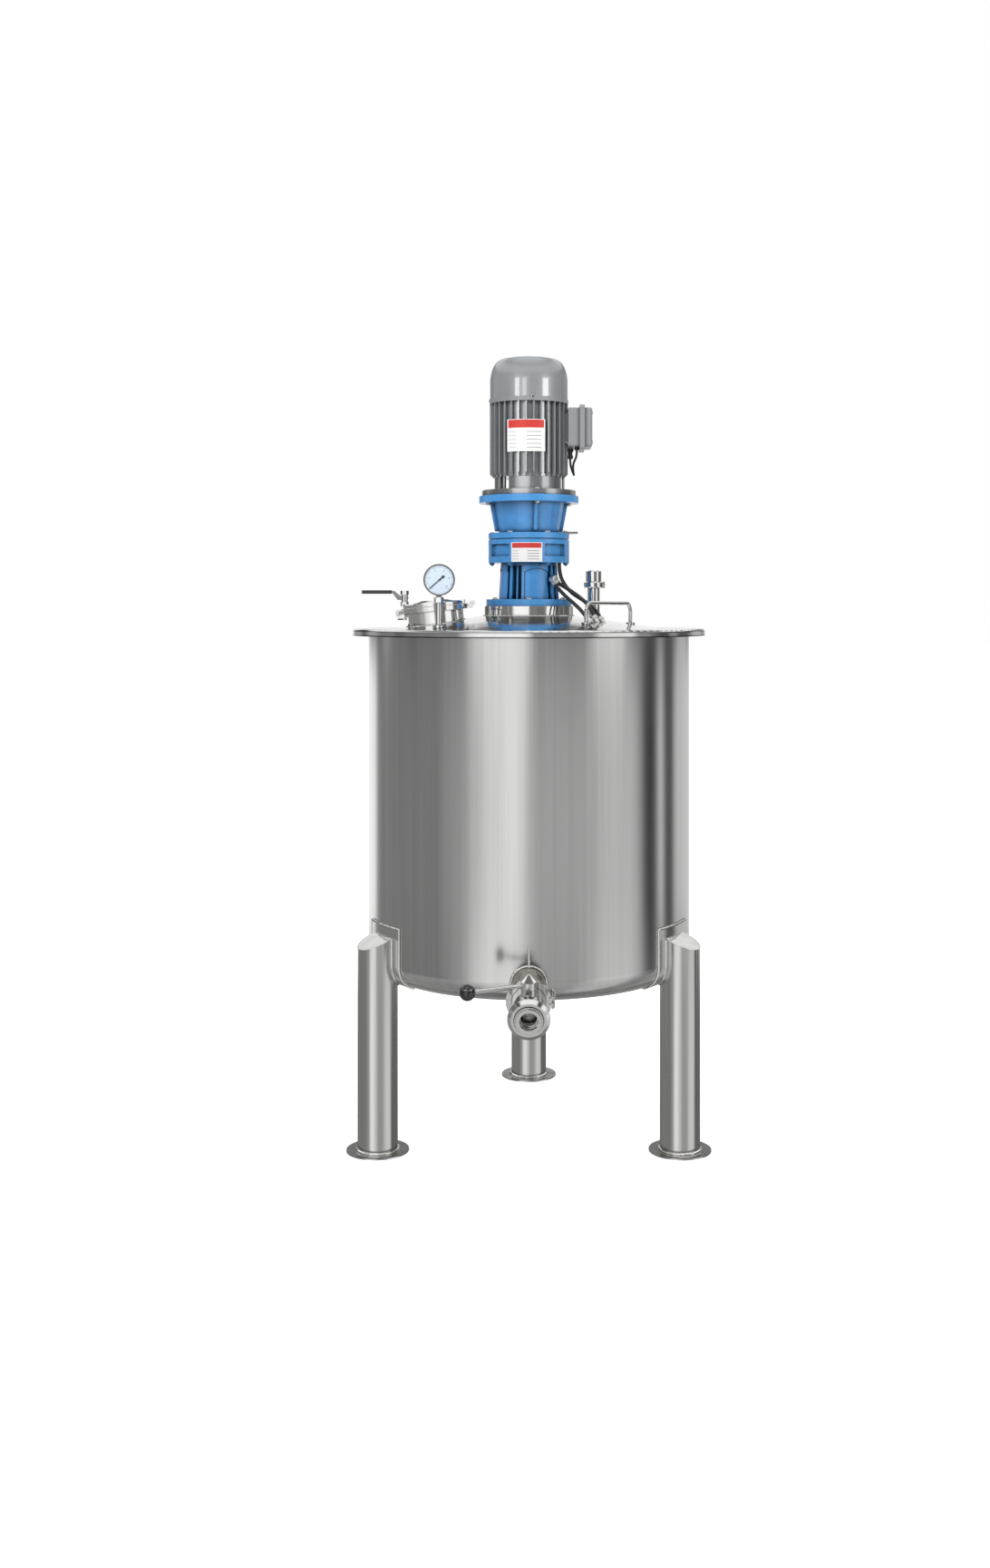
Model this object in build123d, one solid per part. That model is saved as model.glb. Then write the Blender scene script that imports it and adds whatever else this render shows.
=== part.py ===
"""A stainless mixing tank on three pipe legs, with a vertical gear drive on its lid.

Millimetres, +Z up, floor at z = 0, and the discharge side faces -Y. Every piece is
modelled about the tank's own axis, and the last step shifts them all along Y, so that
the origin is the middle of the space that the tank covers on the floor.
"""

from math import cos, hypot, pi, radians, sin, tan

from build123d import *
import os

os.makedirs("parts", exist_ok=True)

# Clearances
SEAT_GAP = 0.3  # between curved pieces that are welded or bolted together
RUN_GAP = 0.08  # radial, a shaft or pin in its bore
MOVE_GAP = 0.5  # a lid on its seat, a ball in its seats

# Vessel
SHELL_R = 425.0
WALL = 3.0
TANGENT_Z = 473.0  # lower end of the straight wall
KNUCKLE_R = 58.0
DISH_EDGE_DEG = 12.0  # slope of the bottom dish where it meets the knuckle

# Lid
LID_T = 3.0
LID_FLANGE_Z = 1316.0  # top of the flat flange
LID_OVERHANG = 42.0
LID_RIM_R = SHELL_R + LID_OVERHANG
LID_RIM_BOTTOM_Z = 1298.0
LID_RIM_ROUND = 7.0
CONE_TOP_Z = 1350.0  # height of the cone's outside at the drive spigot
CONE_DEG = 8.14

# Legs
LEG_R = 50.8
LEG_WALL = 3.0
LEG_OUT = 16.0  # leg's axis beyond the shell's outside
LEG_CIRCLE_R = SHELL_R + LEG_OUT
LEG_CAP_Z = 541.0  # top of the closing plate where it meets the pad
LEG_CAP_DEG = 24.0
FOOT_R = 79.0
FOOT_T = 4.0
PAD_T = 3.0
PAD_TOP_Z = 568.0
PAD_HALF_DEG = 10.7

# Discharge line, measured along its own axis from the shell
OUTLET_Z = 466.0
OUTLET_DEG = 11.0  # falls towards the front
OUTLET_INSIDE = 14.0  # stub's reach behind the shell's outside
OUTLET_HOLE_REACH = 60.0  # of the hole's cutter, forwards of the stub's inner end
STUB_R = 41.0
BORE_R = 19.0
MOUTH_R = 22.0  # bore of the front ring, where a hose tail goes in
REAR_DISC_R = 54.5
REAR_DISC_START = 85.0
REAR_DISC_T = 12.0
BARREL_R = 40.0
BARREL_END = 185.0
BALL_AT = 140.0
BALL_R = 31.0
BALL_FLAT = 26.0  # height of the ball's flat above its centre
FRONT_RING_R = 50.0
FRONT_RING_T = 12.0
FRONT_SHOULDER_R = 41.0
FRONT_STEP_R = 33.5
FRONT_LIP_R = 29.5
FRONT_LIP_T = 7.0
STEM_R = 6.0
HOUSING_R = 18.5
HOUSING_TOP = 53.0  # stem housing's top above the line's axis
COLLAR_TOP = 72.0
COLLAR_CONE_H = 15.0
COLLAR_TIP_R = 3.5
LEVER_UP = 61.0
LEVER_R = 5.8
LEVER_REST_DEG = 16.0  # turned from straight across the line towards the front
KNOB_R = 19.0
KNOB_AT = 146.0

# Drive, from the lid upwards, as the height of each piece
SPIGOT_R = 118.5
SPIGOT_WALL = 8.0
SPIGOT_DEPTH = 6.0  # below the cone's top
SPIGOT_RISE = 25.0
LOWER_FLANGE_R = 113.5
LOWER_FLANGE_T = 18.0
HOUSING_H = 96.0
HOUSING_CORE_R = 60.0
HOUSING_RIB_R = 81.0
HOUSING_RIB_TOP_R = 75.0
HOUSING_SLOT_TOP = 7.0  # solid band above the slots
HOUSING_SLOTS_DEG = ((-48.0, -40.0), (-34.0, -24.0), (-21.5, -14.0))  # from -Y towards +X
HOUSING_PANEL_DEG = (-9.0, 42.0)
HOUSING_PANEL_DEPTH = 3.5
HOUSING_PANEL_TOP = 14.0
HOUSING_ARCH_R = 58.0
RING_H = 79.0
RING_R = 107.5
RING_GROOVE = 3.0
RING_GROOVE_TOP = 15.0  # below the ring's top
RING_RECESS_DEPTH = 9.0
RING_RECESS_LOW = 17.0
RING_RECESS_HIGH = 49.0
RING_RECESS_DEG = (23.0, 61.0)
RING_RECESS_ROUND = 4.0
LIFT_PLATE_T = 4.0
LIFT_PLATE_W = 60.0
LIFT_PLATE_PAST = 22.5  # beyond the ring
LIFT_PLATE_REACH = RING_R + LIFT_PLATE_PAST
ADAPTER_H = 80.0
ADAPTER_BOTTOM_R = 80.0
ADAPTER_TOP_R = 94.0
ADAPTER_FLANGE_R = 132.5
ADAPTER_FLANGE_T = 18.0
ADAPTER_RIB_T = 9.0
ADAPTER_RIB_OUT = 11.0
ADAPTER_RIB_IN = 20.0
ADAPTER_RIB_DEG = 11.0  # first rib, from -Y towards +X
MOTOR_FLANGE_R = 125.0
MOTOR_FLANGE_T = 15.0
MOTOR_NECK_R = 91.5
MOTOR_NECK_WALL = 13.0
MOTOR_NECK_H = 35.0
MOTOR_HUB_R = 45.0
NECK_WINDOWS_DEG = {-135.0: 10.0, -45.0: 10.0, 90.0: 21.0}  # middle and half width
NECK_STUD_R = 3.5
FRAME_H = 195.0
FRAME_CORE_R = 92.0
FIN_R = 104.0
FIN_T = 3.6
FIN_COUNT = 32
FIN_TURN_DEG = 7.4
FIN_CHAMFER = 9.0
COVER_H = 119.0
COVER_CROWN_H = 60.0
COVER_R = 103.5
COVER_TOP_R = 70.0
COVER_FLARE = 1.8
COVER_FLARE_H = 12.0
GRILLE_RINGS = (22.0, 30.0, 38.0, 46.0, 54.0, 62.0)
GRILLE_SLOT_W = 4.0
GRILLE_DEPTH = 4.0
GRILLE_BAR_W = 6.0

# Terminal box on the motor's +X side
BOX_IN_X = 90.0
BOX_SPAN = 30.0  # from the fins to the rim
BOX_DEPTH = 104.0
BOX_UP = 80.0  # above the frame's lower end
BOX_H = 103.0
BOX_NECK_SHRINK = 31.0  # neck is this much smaller than the box
BOX_RIM_OUT = 7.0
BOX_RIM_T = 13.5
BOX_COVER_T = 20.0
BOX_ROUND = 7.0
BOX_EDGE = 4.0
BOX_NECK_PLAY = 10.0  # the frame's pocket is wider than the neck

# Manway on the lid
MANWAY_GAP = 17.5  # between the drive's spigot and the hinge
MANWAY_Y = -60.0
MANWAY_TILT_DEG = 5.0
NECK_R = 75.0
NECK_WALL = 3.0
NECK_RISE = 31.0  # neck that shows between the cone and the flange
NECK_INSIDE = 12.0
NECK_FLANGE_R = 86.0
NECK_FLANGE_T = 12.0
COVER_T = 11.0
COVER_DOME = 5.0
HINGE_OUT = 13.0  # pin's centre beyond the flange's edge
HINGE_R = 9.0
PIN_R = 4.0
HINGE_MID = 26.0  # width of the knuckle on the neck
HINGE_EAR = 13.0
HINGE_SIDE_GAP = 1.0
COVER_DOME_R = 62.0
COVER_DOME_TOP_R = 40.0
COVER_EDGE = 3.0
LATCH_LUG_OUT = 16.0
LATCH_LUG_T = 6.0
LATCH_LUG_GAP = 11.0
LATCH_LUG_H = 22.0
MANWAY_X = -(SPIGOT_R + MANWAY_GAP + HINGE_R + HINGE_OUT + NECK_FLANGE_R)

# Vent valve beside the manway
VENT_TURN_DEG = 149.0  # direction from the manway's axis, from +X towards +Y
VENT_OUT = 100.5
VENT_PIPE_Z = 1346.0
VENT_BOTTOM_Z = 1338.0
VENT_BODY_Z = 1372.0
VENT_TOP_Z = 1416.0
VENT_R = 8.8
VENT_HEX = 19.0  # across flats
VENT_BORE_R = 5.0
VENT_BORE_DEPTH = 9.0
VENT_HEX_H = 11.0
VENT_PIPE_R = 5.5
VENT_GLAND_R = 7.0
VENT_GLAND_L = 5.0
VENT_STEM_R = 3.5
VENT_STEM_IN = 8.0  # reach of the stem into the gland
VENT_PIVOT_Z = 1397.0
VENT_LEVER_T = 3.0
VENT_LEVER_W = 11.0
VENT_TANG_L = 60.0  # lever's part inside the grip
VENT_TANG_W = 6.0
VENT_BEND_AT = 18.0  # from the stem
VENT_HUB_R = 9.0
VENT_SCREW = 10.0  # across flats
VENT_GRIP_LENGTH = 80.0
VENT_GRIP_H = 9.6
VENT_GRIP_W = 13.0
VENT_GRIP_Z = 1412.7

# Pressure gauge
GAUGE_ASIDE = 17.0  # from the manway's axis
GAUGE_AHEAD = 170.0
GAUGE_X = MANWAY_X + GAUGE_ASIDE
GAUGE_Y = MANWAY_Y - GAUGE_AHEAD
GAUGE_CENTRE_Z = 1441.0
GAUGE_R = 40.0
GAUGE_DEPTH = 30.0
GAUGE_TURN_DEG = 7.0
GAUGE_BEZEL_T = 8.0
GAUGE_BEZEL_W = 3.5
GAUGE_CASE_STEP = 1.8  # case inside the bezel's outside
GAUGE_DIAL_IN = 4.0
GAUGE_DIAL_T = 1.5
GAUGE_STEM_R = 8.0
GAUGE_NECK_R = 7.0
GAUGE_HEX = 22.0
GAUGE_HEX_H = 14.0
GAUGE_BASE_R = 15.0
GAUGE_BASE_H = 6.0

# Breather
BREATHER_X = 175.0
BREATHER_Y = 60.0
BREATHER_R = 16.5
BREATHER_PIPE_TOP_Z = 1424.0
BREATHER_CLAMP_R = 26.5
BREATHER_CLAMP_H = 17.0
BREATHER_CAP_R = 21.0
BREATHER_CAP_H = 30.0
BREATHER_EDGE = 2.5
BREATHER_LUG = 7.0

# Lid handle
HANDLE_FOOT_A = (145.0, -215.0)
HANDLE_FOOT_B = (268.0, -40.0)
HANDLE_TOP_Z = 1383.0
HANDLE_ROD_R = 4.8
HANDLE_BEND_R = 22.0
HANDLE_FOOT_R = 12.0
HANDLE_FOOT_T = 4.0

# Hoses and cable
HOSE_R = 5.0
CABLE_R = 3.0

# Agitator
SHAFT_R = 20.0
SHAFT_BOTTOM_Z = 500.0
HUB_R = 34.0
HUB_H = 70.0
BLADE_REACH = 150.0
BLADE_W = 62.0
BLADE_T = 5.0
BLADE_COUNT = 4
BLADE_PITCH_DEG = 45.0


def disc(radius, low, high, x=0.0, y=0.0):
    """Upright cylinder between two heights."""
    return Pos(x, y, (low + high) / 2) * Cylinder(radius, high - low)


def tube(outer, inner, low, high, x=0.0, y=0.0):
    return disc(outer, low, high, x, y) - disc(inner, low - 1, high + 1, x, y)


def sector(inner, outer, low, high, from_deg, to_deg):
    """Part of a tube between two directions, counted from -Y towards +X."""
    face = make_face(Polyline((inner, low), (outer, low), (outer, high), (inner, high), close=True))
    return Rot(0, 0, from_deg - 90) * revolve(Plane.XZ * face, Axis.Z, to_deg - from_deg)


def turned(points):
    """Solid of revolution about Z from an outline of (radius, height) points."""
    return revolve(Plane.XZ * make_face(Polyline(*points, close=True)), Axis.Z)


def around(count, part, start_deg=0.0):
    """Copies of a part, evenly spaced about Z."""
    return [Rot(0, 0, start_deg + index * 360 / count) * part for index in range(count)]


def cone_z(radius):
    """Height of the lid cone's outside at a distance from the tank's axis."""
    return CONE_TOP_Z - (radius - SPIGOT_R) * tan(radians(CONE_DEG))


SPIGOT_BOTTOM_Z = CONE_TOP_Z - SPIGOT_DEPTH
SPIGOT_TOP_Z = CONE_TOP_Z + SPIGOT_RISE
HOUSING_BOTTOM_Z = SPIGOT_TOP_Z + LOWER_FLANGE_T
HOUSING_TOP_Z = HOUSING_BOTTOM_Z + HOUSING_H
RING_TOP_Z = HOUSING_TOP_Z + RING_H
ADAPTER_TOP_Z = RING_TOP_Z + ADAPTER_H
MOTOR_BOTTOM_Z = ADAPTER_TOP_Z + ADAPTER_FLANGE_T
MOTOR_NECK_TOP_Z = MOTOR_BOTTOM_Z + MOTOR_FLANGE_T + MOTOR_NECK_H
FRAME_TOP_Z = MOTOR_NECK_TOP_Z + FRAME_H
COVER_TOP_Z = FRAME_TOP_Z + COVER_H
CONE_FOOT_R = SPIGOT_R + (CONE_TOP_Z - LID_FLANGE_Z) / tan(radians(CONE_DEG))
SHELL_TOP_Z = LID_FLANGE_Z - LID_T


def lid_z(x, y):
    """Height of the lid's outside at a place in plan."""
    return max(cone_z(hypot(x, y)), LID_FLANGE_Z)


# Vessel ends: a knuckle that turns in from the wall, and a shallow dish.

KNUCKLE_CENTRE_R = SHELL_R - KNUCKLE_R
KNUCKLE_TURN = radians(90 - DISH_EDGE_DEG)
KNUCKLE_END_R = KNUCKLE_CENTRE_R + KNUCKLE_R * cos(KNUCKLE_TURN)
KNUCKLE_END_Z = TANGENT_Z - KNUCKLE_R * sin(KNUCKLE_TURN)
DISH_R = KNUCKLE_END_R / sin(radians(DISH_EDGE_DEG))
DISH_CENTRE_Z = KNUCKLE_END_Z + DISH_R * cos(radians(DISH_EDGE_DEG))


def knuckle_edge(offset):
    """Knuckle's arc in the XZ plane, moved outwards by offset."""
    radius = KNUCKLE_R + offset
    points = [
        (KNUCKLE_CENTRE_R + radius * cos(turn), TANGENT_Z - radius * sin(turn))
        for turn in (0, KNUCKLE_TURN / 2, KNUCKLE_TURN)
    ]
    return ThreePointArc(*points)


def dish_edge(offset):
    """Dish's arc in the XZ plane, moved outwards by offset, out to in."""
    radius = DISH_R + offset
    turn = radians(DISH_EDGE_DEG)
    points = [
        (radius * sin(share * turn), DISH_CENTRE_Z - radius * cos(share * turn))
        for share in (1, 0.5, 0)
    ]
    return ThreePointArc(*points)


def head_body(offset):
    """Solid inside the bottom head's outside moved outwards by offset."""
    knuckle = knuckle_edge(offset)
    dish = dish_edge(offset)
    outline = [
        Line((0, TANGENT_Z), knuckle @ 0),
        knuckle,
        dish,
        Line(dish @ 1, (0, TANGENT_Z)),
    ]
    return revolve(Plane.XZ * make_face(outline), Axis.Z)


def vessel_body(offset, top_z):
    """Solid inside the vessel's outside moved outwards by offset, up to a height."""
    return head_body(offset) + disc(SHELL_R + offset, TANGENT_Z, top_z)


def make_bottom_head():
    return head_body(0) - head_body(-WALL)


def make_shell():
    return tube(SHELL_R, SHELL_R - WALL, TANGENT_Z, SHELL_TOP_Z)


def lid_section(drop):
    """Lid's outline from the spigot to the rim, lowered by drop."""
    return [
        (SPIGOT_R + SEAT_GAP, cone_z(SPIGOT_R + SEAT_GAP) - drop),
        (CONE_FOOT_R, LID_FLANGE_Z - drop),
        (LID_RIM_R - drop, LID_FLANGE_Z - drop),
        (LID_RIM_R - drop, LID_RIM_BOTTOM_Z),
    ]


def make_lid():
    outer = lid_section(0)
    inner = lid_section(LID_T)
    face = make_face(Polyline(*outer, *reversed(inner), close=True))
    corners = face.vertices()
    top_corner = corners.sort_by_distance((LID_RIM_R, LID_FLANGE_Z, 0))[0]
    face = fillet(top_corner, LID_RIM_ROUND)
    inner_corner = (LID_RIM_R - LID_T, LID_FLANGE_Z - LID_T, 0)
    face = fillet(face.vertices().sort_by_distance(inner_corner)[0], LID_RIM_ROUND - LID_T)
    return revolve(Plane.XZ * face, Axis.Z)


def below_lid(gap):
    """Solid under the lid's outside raised by gap, to trim what stands on it."""
    return turned(
        [
            (0, cone_z(0) + gap),
            (CONE_FOOT_R, LID_FLANGE_Z + gap),
            (LID_RIM_R, LID_FLANGE_Z + gap),
            (LID_RIM_R, LID_RIM_BOTTOM_Z - SHELL_R),
            (0, LID_RIM_BOTTOM_Z - SHELL_R),
        ]
    )


# Legs: pipes notched over the vessel, each with a pad, a slanted cap and a foot disc.

LEG_TURNS = {"left": -60.0, "right": 60.0, "rear": 180.0}  # from -Y towards +X


def at_leg(turn_deg, part):
    return Rot(0, 0, turn_deg) * part


def make_leg():
    """Leg in front of the tank, to be turned to its place."""
    height = LEG_CAP_Z + LEG_R
    pipe = Pos(0, -LEG_CIRCLE_R, FOOT_T + height / 2) * Cylinder(LEG_R, height)
    hollow = Pos(0, -LEG_CIRCLE_R, FOOT_T + height / 2) * Cylinder(LEG_R - LEG_WALL, height)
    pad_face_y = -(SHELL_R + PAD_T)
    above = Box(4 * LEG_R, 8 * LEG_R, 4 * LEG_R, align=(Align.CENTER, Align.CENTER, Align.MIN))
    cut_outside = Pos(0, pad_face_y, LEG_CAP_Z) * Rot(LEG_CAP_DEG, 0, 0) * above
    cut_inside = Pos(0, pad_face_y, LEG_CAP_Z) * Rot(LEG_CAP_DEG, 0, 0) * Pos(0, 0, -LEG_WALL) * above
    leg = (pipe - cut_outside) - (hollow - cut_inside)
    return leg - vessel_body(PAD_T + 2 * SEAT_GAP, LEG_CAP_Z + 4 * LEG_R)


def make_pad():
    """Plate that follows the wall and the knuckle behind a leg in front of the tank."""
    inner, outer = SEAT_GAP, SEAT_GAP + PAD_T
    inner_arc, outer_arc = knuckle_edge(inner), knuckle_edge(outer)
    outline = [
        Line((SHELL_R + inner, PAD_TOP_Z), (SHELL_R + outer, PAD_TOP_Z)),
        Line((SHELL_R + outer, PAD_TOP_Z), outer_arc @ 0),
        outer_arc,
        Line(outer_arc @ 1, inner_arc @ 1),
        inner_arc,
        Line(inner_arc @ 0, (SHELL_R + inner, PAD_TOP_Z)),
    ]
    wedge = revolve(Plane.XZ * make_face(outline), Axis.Z, 2 * PAD_HALF_DEG)
    return Rot(0, 0, -90 - PAD_HALF_DEG) * wedge


def make_foot():
    return Pos(0, -LEG_CIRCLE_R, FOOT_T / 2) * Cylinder(FOOT_R, FOOT_T)


# Discharge line: x across, y up, z forwards along the line from the shell.

OUTLET_PLANE = Plane(
    origin=(0, -SHELL_R, OUTLET_Z),
    x_dir=(1, 0, 0),
    z_dir=(0, -cos(radians(OUTLET_DEG)), -sin(radians(OUTLET_DEG))),
)
REAR_DISC_END = REAR_DISC_START + REAR_DISC_T
REAR_DISC_JOINT = REAR_DISC_START + REAR_DISC_T / 2
FRONT_RING_END = BARREL_END + FRONT_RING_T
OUTLET_END = FRONT_RING_END + FRONT_LIP_T
STEM_AXIS = Pos(0, 0, BALL_AT) * Rot(-90, 0, 0)  # local z becomes the line's y


def outlet_hole(radius):
    """Cylinder through the shell along the line."""
    length = OUTLET_INSIDE + OUTLET_HOLE_REACH
    return OUTLET_PLANE.location * Pos(0, 0, -OUTLET_INSIDE) * Cylinder(radius, length)


def make_outlet_stub():
    stub = disc(STUB_R, -OUTLET_INSIDE, REAR_DISC_START) + disc(
        REAR_DISC_R, REAR_DISC_START, REAR_DISC_JOINT
    )
    return stub - disc(BORE_R, -OUTLET_INSIDE - 1, REAR_DISC_JOINT + 1)


def make_valve_body():
    body = disc(REAR_DISC_R, REAR_DISC_JOINT, REAR_DISC_END)
    body += disc(BARREL_R, REAR_DISC_END, BARREL_END)
    body += STEM_AXIS * disc(HOUSING_R, 0, HOUSING_TOP)
    body -= disc(BORE_R, REAR_DISC_JOINT - 1, BARREL_END + 1)
    body -= Pos(0, 0, BALL_AT) * Sphere(BALL_R + MOVE_GAP)
    return body - STEM_AXIS * disc(STEM_R + RUN_GAP, 0, HOUSING_TOP + 1)


def make_front_ring():
    """Ring with a sloping shoulder, a step and a lip around the mouth."""
    edge = FRONT_RING_T / 4
    ring = turned(
        [
            (MOUTH_R, BARREL_END),
            (FRONT_RING_R - edge, BARREL_END),
            (FRONT_RING_R, BARREL_END + edge),
            (FRONT_RING_R, BARREL_END + 2 * edge),
            (FRONT_SHOULDER_R, FRONT_RING_END),
            (FRONT_STEP_R + edge / 2, FRONT_RING_END),
            (FRONT_STEP_R, FRONT_RING_END - edge / 2),
            (FRONT_STEP_R, FRONT_RING_END + FRONT_LIP_T / 2),
            (FRONT_LIP_R, FRONT_RING_END + FRONT_LIP_T / 2),
            (FRONT_LIP_R, OUTLET_END),
            (MOUTH_R, OUTLET_END),
        ]
    )
    return ring


def at_lever(part):
    """Part built along +X, turned to the lever's rest position."""
    return STEM_AXIS * Rot(0, 0, 180 + LEVER_REST_DEG) * part


def make_ball():
    """Ball whose bore lies along the lever."""
    ball = Sphere(BALL_R) - Rot(0, 90, 0) * Cylinder(BORE_R, 3 * BALL_R)
    ball -= disc(BALL_R, BALL_FLAT, BALL_FLAT + BALL_R)
    return at_lever(ball)


def make_stem():
    """Stem with a round head of the housing's size, a cone on top and a socket for the lever."""
    stem = disc(STEM_R, BALL_FLAT, HOUSING_TOP + MOVE_GAP)
    stem += disc(HOUSING_R, HOUSING_TOP + MOVE_GAP, COLLAR_TOP)
    stem += Pos(0, 0, COLLAR_TOP + COLLAR_CONE_H / 2) * Cone(HOUSING_R, COLLAR_TIP_R, COLLAR_CONE_H)
    socket = Rot(0, 90, 0) * Pos(0, 0, HOUSING_R) * Cylinder(LEVER_R + RUN_GAP, HOUSING_R)
    return at_lever(stem - Pos(0, 0, LEVER_UP) * socket)


def make_lever():
    start, end = HOUSING_R / 2, KNOB_AT - KNOB_R / 2
    rod = Pos((start + end) / 2, 0, LEVER_UP) * Rot(0, 90, 0) * Cylinder(LEVER_R, end - start)
    return at_lever(rod)


def make_knob():
    knob = Pos(KNOB_AT, 0, LEVER_UP) * Sphere(KNOB_R)
    hole_end = KNOB_AT - KNOB_R / 2
    hole = Pos(hole_end - KNOB_R / 2, 0, LEVER_UP) * Rot(0, 90, 0) * Cylinder(LEVER_R + RUN_GAP, KNOB_R)
    return at_lever(knob - hole)


# Drive: spigot, gear housings, adapter and motor, all about the tank's axis.


def make_spigot():
    return tube(SPIGOT_R, SPIGOT_R - SPIGOT_WALL, SPIGOT_BOTTOM_Z, SPIGOT_TOP_Z)


def make_lower_housing():
    """Gear housing on its flange: each quarter has three deep slots and an arched panel."""
    low, high = HOUSING_BOTTOM_Z, HOUSING_TOP_Z
    body = turned(
        [
            (0, SPIGOT_TOP_Z),
            (LOWER_FLANGE_R, SPIGOT_TOP_Z),
            (LOWER_FLANGE_R, low),
            (HOUSING_RIB_R, low),
            (HOUSING_RIB_TOP_R, high),
            (0, high),
        ]
    )
    panel_top = high - HOUSING_PANEL_TOP
    outside = turned(
        [
            (HOUSING_RIB_R - HOUSING_PANEL_DEPTH, low),
            (LOWER_FLANGE_R, low),
            (LOWER_FLANGE_R, high),
            (HOUSING_RIB_TOP_R - HOUSING_PANEL_DEPTH, high),
        ]
    )
    middle = sum(HOUSING_PANEL_DEG) / 2 - 90
    arch = Pos(0, 0, panel_top - HOUSING_ARCH_R) * Rot(0, 90, 0) * Cylinder(
        HOUSING_ARCH_R, LOWER_FLANGE_R, align=(Align.CENTER, Align.CENTER, Align.MIN)
    )
    cut = sector(HOUSING_CORE_R, LOWER_FLANGE_R, low, panel_top, *HOUSING_PANEL_DEG)
    cut = cut & outside & (Rot(0, 0, middle) * arch)
    for start_deg, end_deg in HOUSING_SLOTS_DEG:
        cut += sector(HOUSING_CORE_R, LOWER_FLANGE_R, low, high - HOUSING_SLOT_TOP, start_deg, end_deg)
    for copy in around(4, cut):
        body -= copy
    return body


def make_gearbox_ring():
    """Gear ring with a groove under its top flange and a rounded recess in each quarter."""
    groove_high = RING_TOP_Z - RING_GROOVE_TOP
    groove_low = groove_high - RING_GROOVE
    body = turned(
        [
            (0, HOUSING_TOP_Z),
            (RING_R, HOUSING_TOP_Z),
            (RING_R, groove_low),
            (RING_R - RING_GROOVE, groove_low),
            (RING_R - RING_GROOVE, groove_high),
            (RING_R, groove_high),
            (RING_R, RING_TOP_Z),
            (0, RING_TOP_Z),
        ]
    )
    low, high = HOUSING_TOP_Z + RING_RECESS_LOW, HOUSING_TOP_Z + RING_RECESS_HIGH
    recess = sector(RING_R - RING_RECESS_DEPTH, RING_R + RING_GROOVE, low, high, *RING_RECESS_DEG)
    recess = fillet(recess.edges().filter_by(Axis.Z), RING_RECESS_ROUND / 2)
    for copy in around(4, recess):
        body -= copy
    return body


def make_lifting_plate():
    """Plate on the ring beside the adapter's foot, which reaches past the ring on one side."""
    plate = Pos(0, 0, RING_TOP_Z) * Box(
        LIFT_PLATE_REACH, LIFT_PLATE_W, LIFT_PLATE_T, align=(Align.MIN, Align.CENTER, Align.MIN)
    )
    hole_r = ADAPTER_BOTTOM_R + LIFT_PLATE_T
    return plate - disc(hole_r, RING_TOP_Z - LIFT_PLATE_T, RING_TOP_Z + 2 * LIFT_PLATE_T)


def make_adapter():
    """Cone that widens to the motor's flange, with four ribs."""
    body = Pos(0, 0, RING_TOP_Z + ADAPTER_H / 2) * Cone(ADAPTER_BOTTOM_R, ADAPTER_TOP_R, ADAPTER_H)
    rib_low = RING_TOP_Z + LIFT_PLATE_T + 1
    outline = Polyline(
        (ADAPTER_BOTTOM_R - ADAPTER_RIB_IN, rib_low),
        (ADAPTER_BOTTOM_R + ADAPTER_RIB_OUT, rib_low),
        (ADAPTER_TOP_R + ADAPTER_RIB_OUT, ADAPTER_TOP_Z),
        (ADAPTER_BOTTOM_R - ADAPTER_RIB_IN, ADAPTER_TOP_Z),
        close=True,
    )
    rib = extrude(Plane.XZ * make_face(outline), ADAPTER_RIB_T / 2, both=True)
    for copy in around(4, rib, start_deg=ADAPTER_RIB_DEG - 90):
        body += copy
    return body + disc(ADAPTER_FLANGE_R, ADAPTER_TOP_Z, MOTOR_BOTTOM_Z)


def make_end_shield():
    """Motor's lower end: a flange, a hub and a wall with windows, each with a long stud."""
    low = MOTOR_BOTTOM_Z + MOTOR_FLANGE_T
    wall = tube(MOTOR_NECK_R, MOTOR_NECK_R - MOTOR_NECK_WALL, low, MOTOR_NECK_TOP_Z)
    window_r = MOTOR_NECK_R + MOTOR_NECK_WALL
    for middle, half in NECK_WINDOWS_DEG.items():
        wall -= sector(MOTOR_HUB_R, window_r, low, MOTOR_NECK_TOP_Z, middle - half, middle + half)
    shield = disc(MOTOR_FLANGE_R, MOTOR_BOTTOM_Z, low) + wall
    shield += disc(MOTOR_HUB_R, low, MOTOR_NECK_TOP_Z)
    for middle in NECK_WINDOWS_DEG:
        stud = Pos(0, -MOTOR_NECK_R, 0) * disc(NECK_STUD_R, low, MOTOR_NECK_TOP_Z)
        shield += Rot(0, 0, middle) * stud
    return shield


def make_motor_frame():
    """Finned barrel: the fins taper in at the lower end, and a pocket takes the box's neck."""
    root_r = FRAME_CORE_R - FIN_T
    outline = Polyline(
        (root_r, MOTOR_NECK_TOP_Z),
        (FIN_R - FIN_CHAMFER, MOTOR_NECK_TOP_Z),
        (FIN_R, MOTOR_NECK_TOP_Z + FIN_CHAMFER),
        (FIN_R, FRAME_TOP_Z),
        (root_r, FRAME_TOP_Z),
        close=True,
    )
    fin = extrude(Plane.XZ * make_face(outline), FIN_T / 2, both=True)
    body = disc(FRAME_CORE_R, MOTOR_NECK_TOP_Z, FRAME_TOP_Z)
    body += around(FIN_COUNT, fin, start_deg=FIN_TURN_DEG - 90)
    pocket = Pos(BOX_IN_X, 0, BOX_MIDDLE_Z) * Box(
        FIN_R,
        BOX_DEPTH - BOX_NECK_SHRINK + SEAT_GAP,
        BOX_H - BOX_NECK_SHRINK + BOX_NECK_PLAY,
        align=(Align.MIN, Align.CENTER, Align.CENTER),
    )
    return body - pocket


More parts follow.
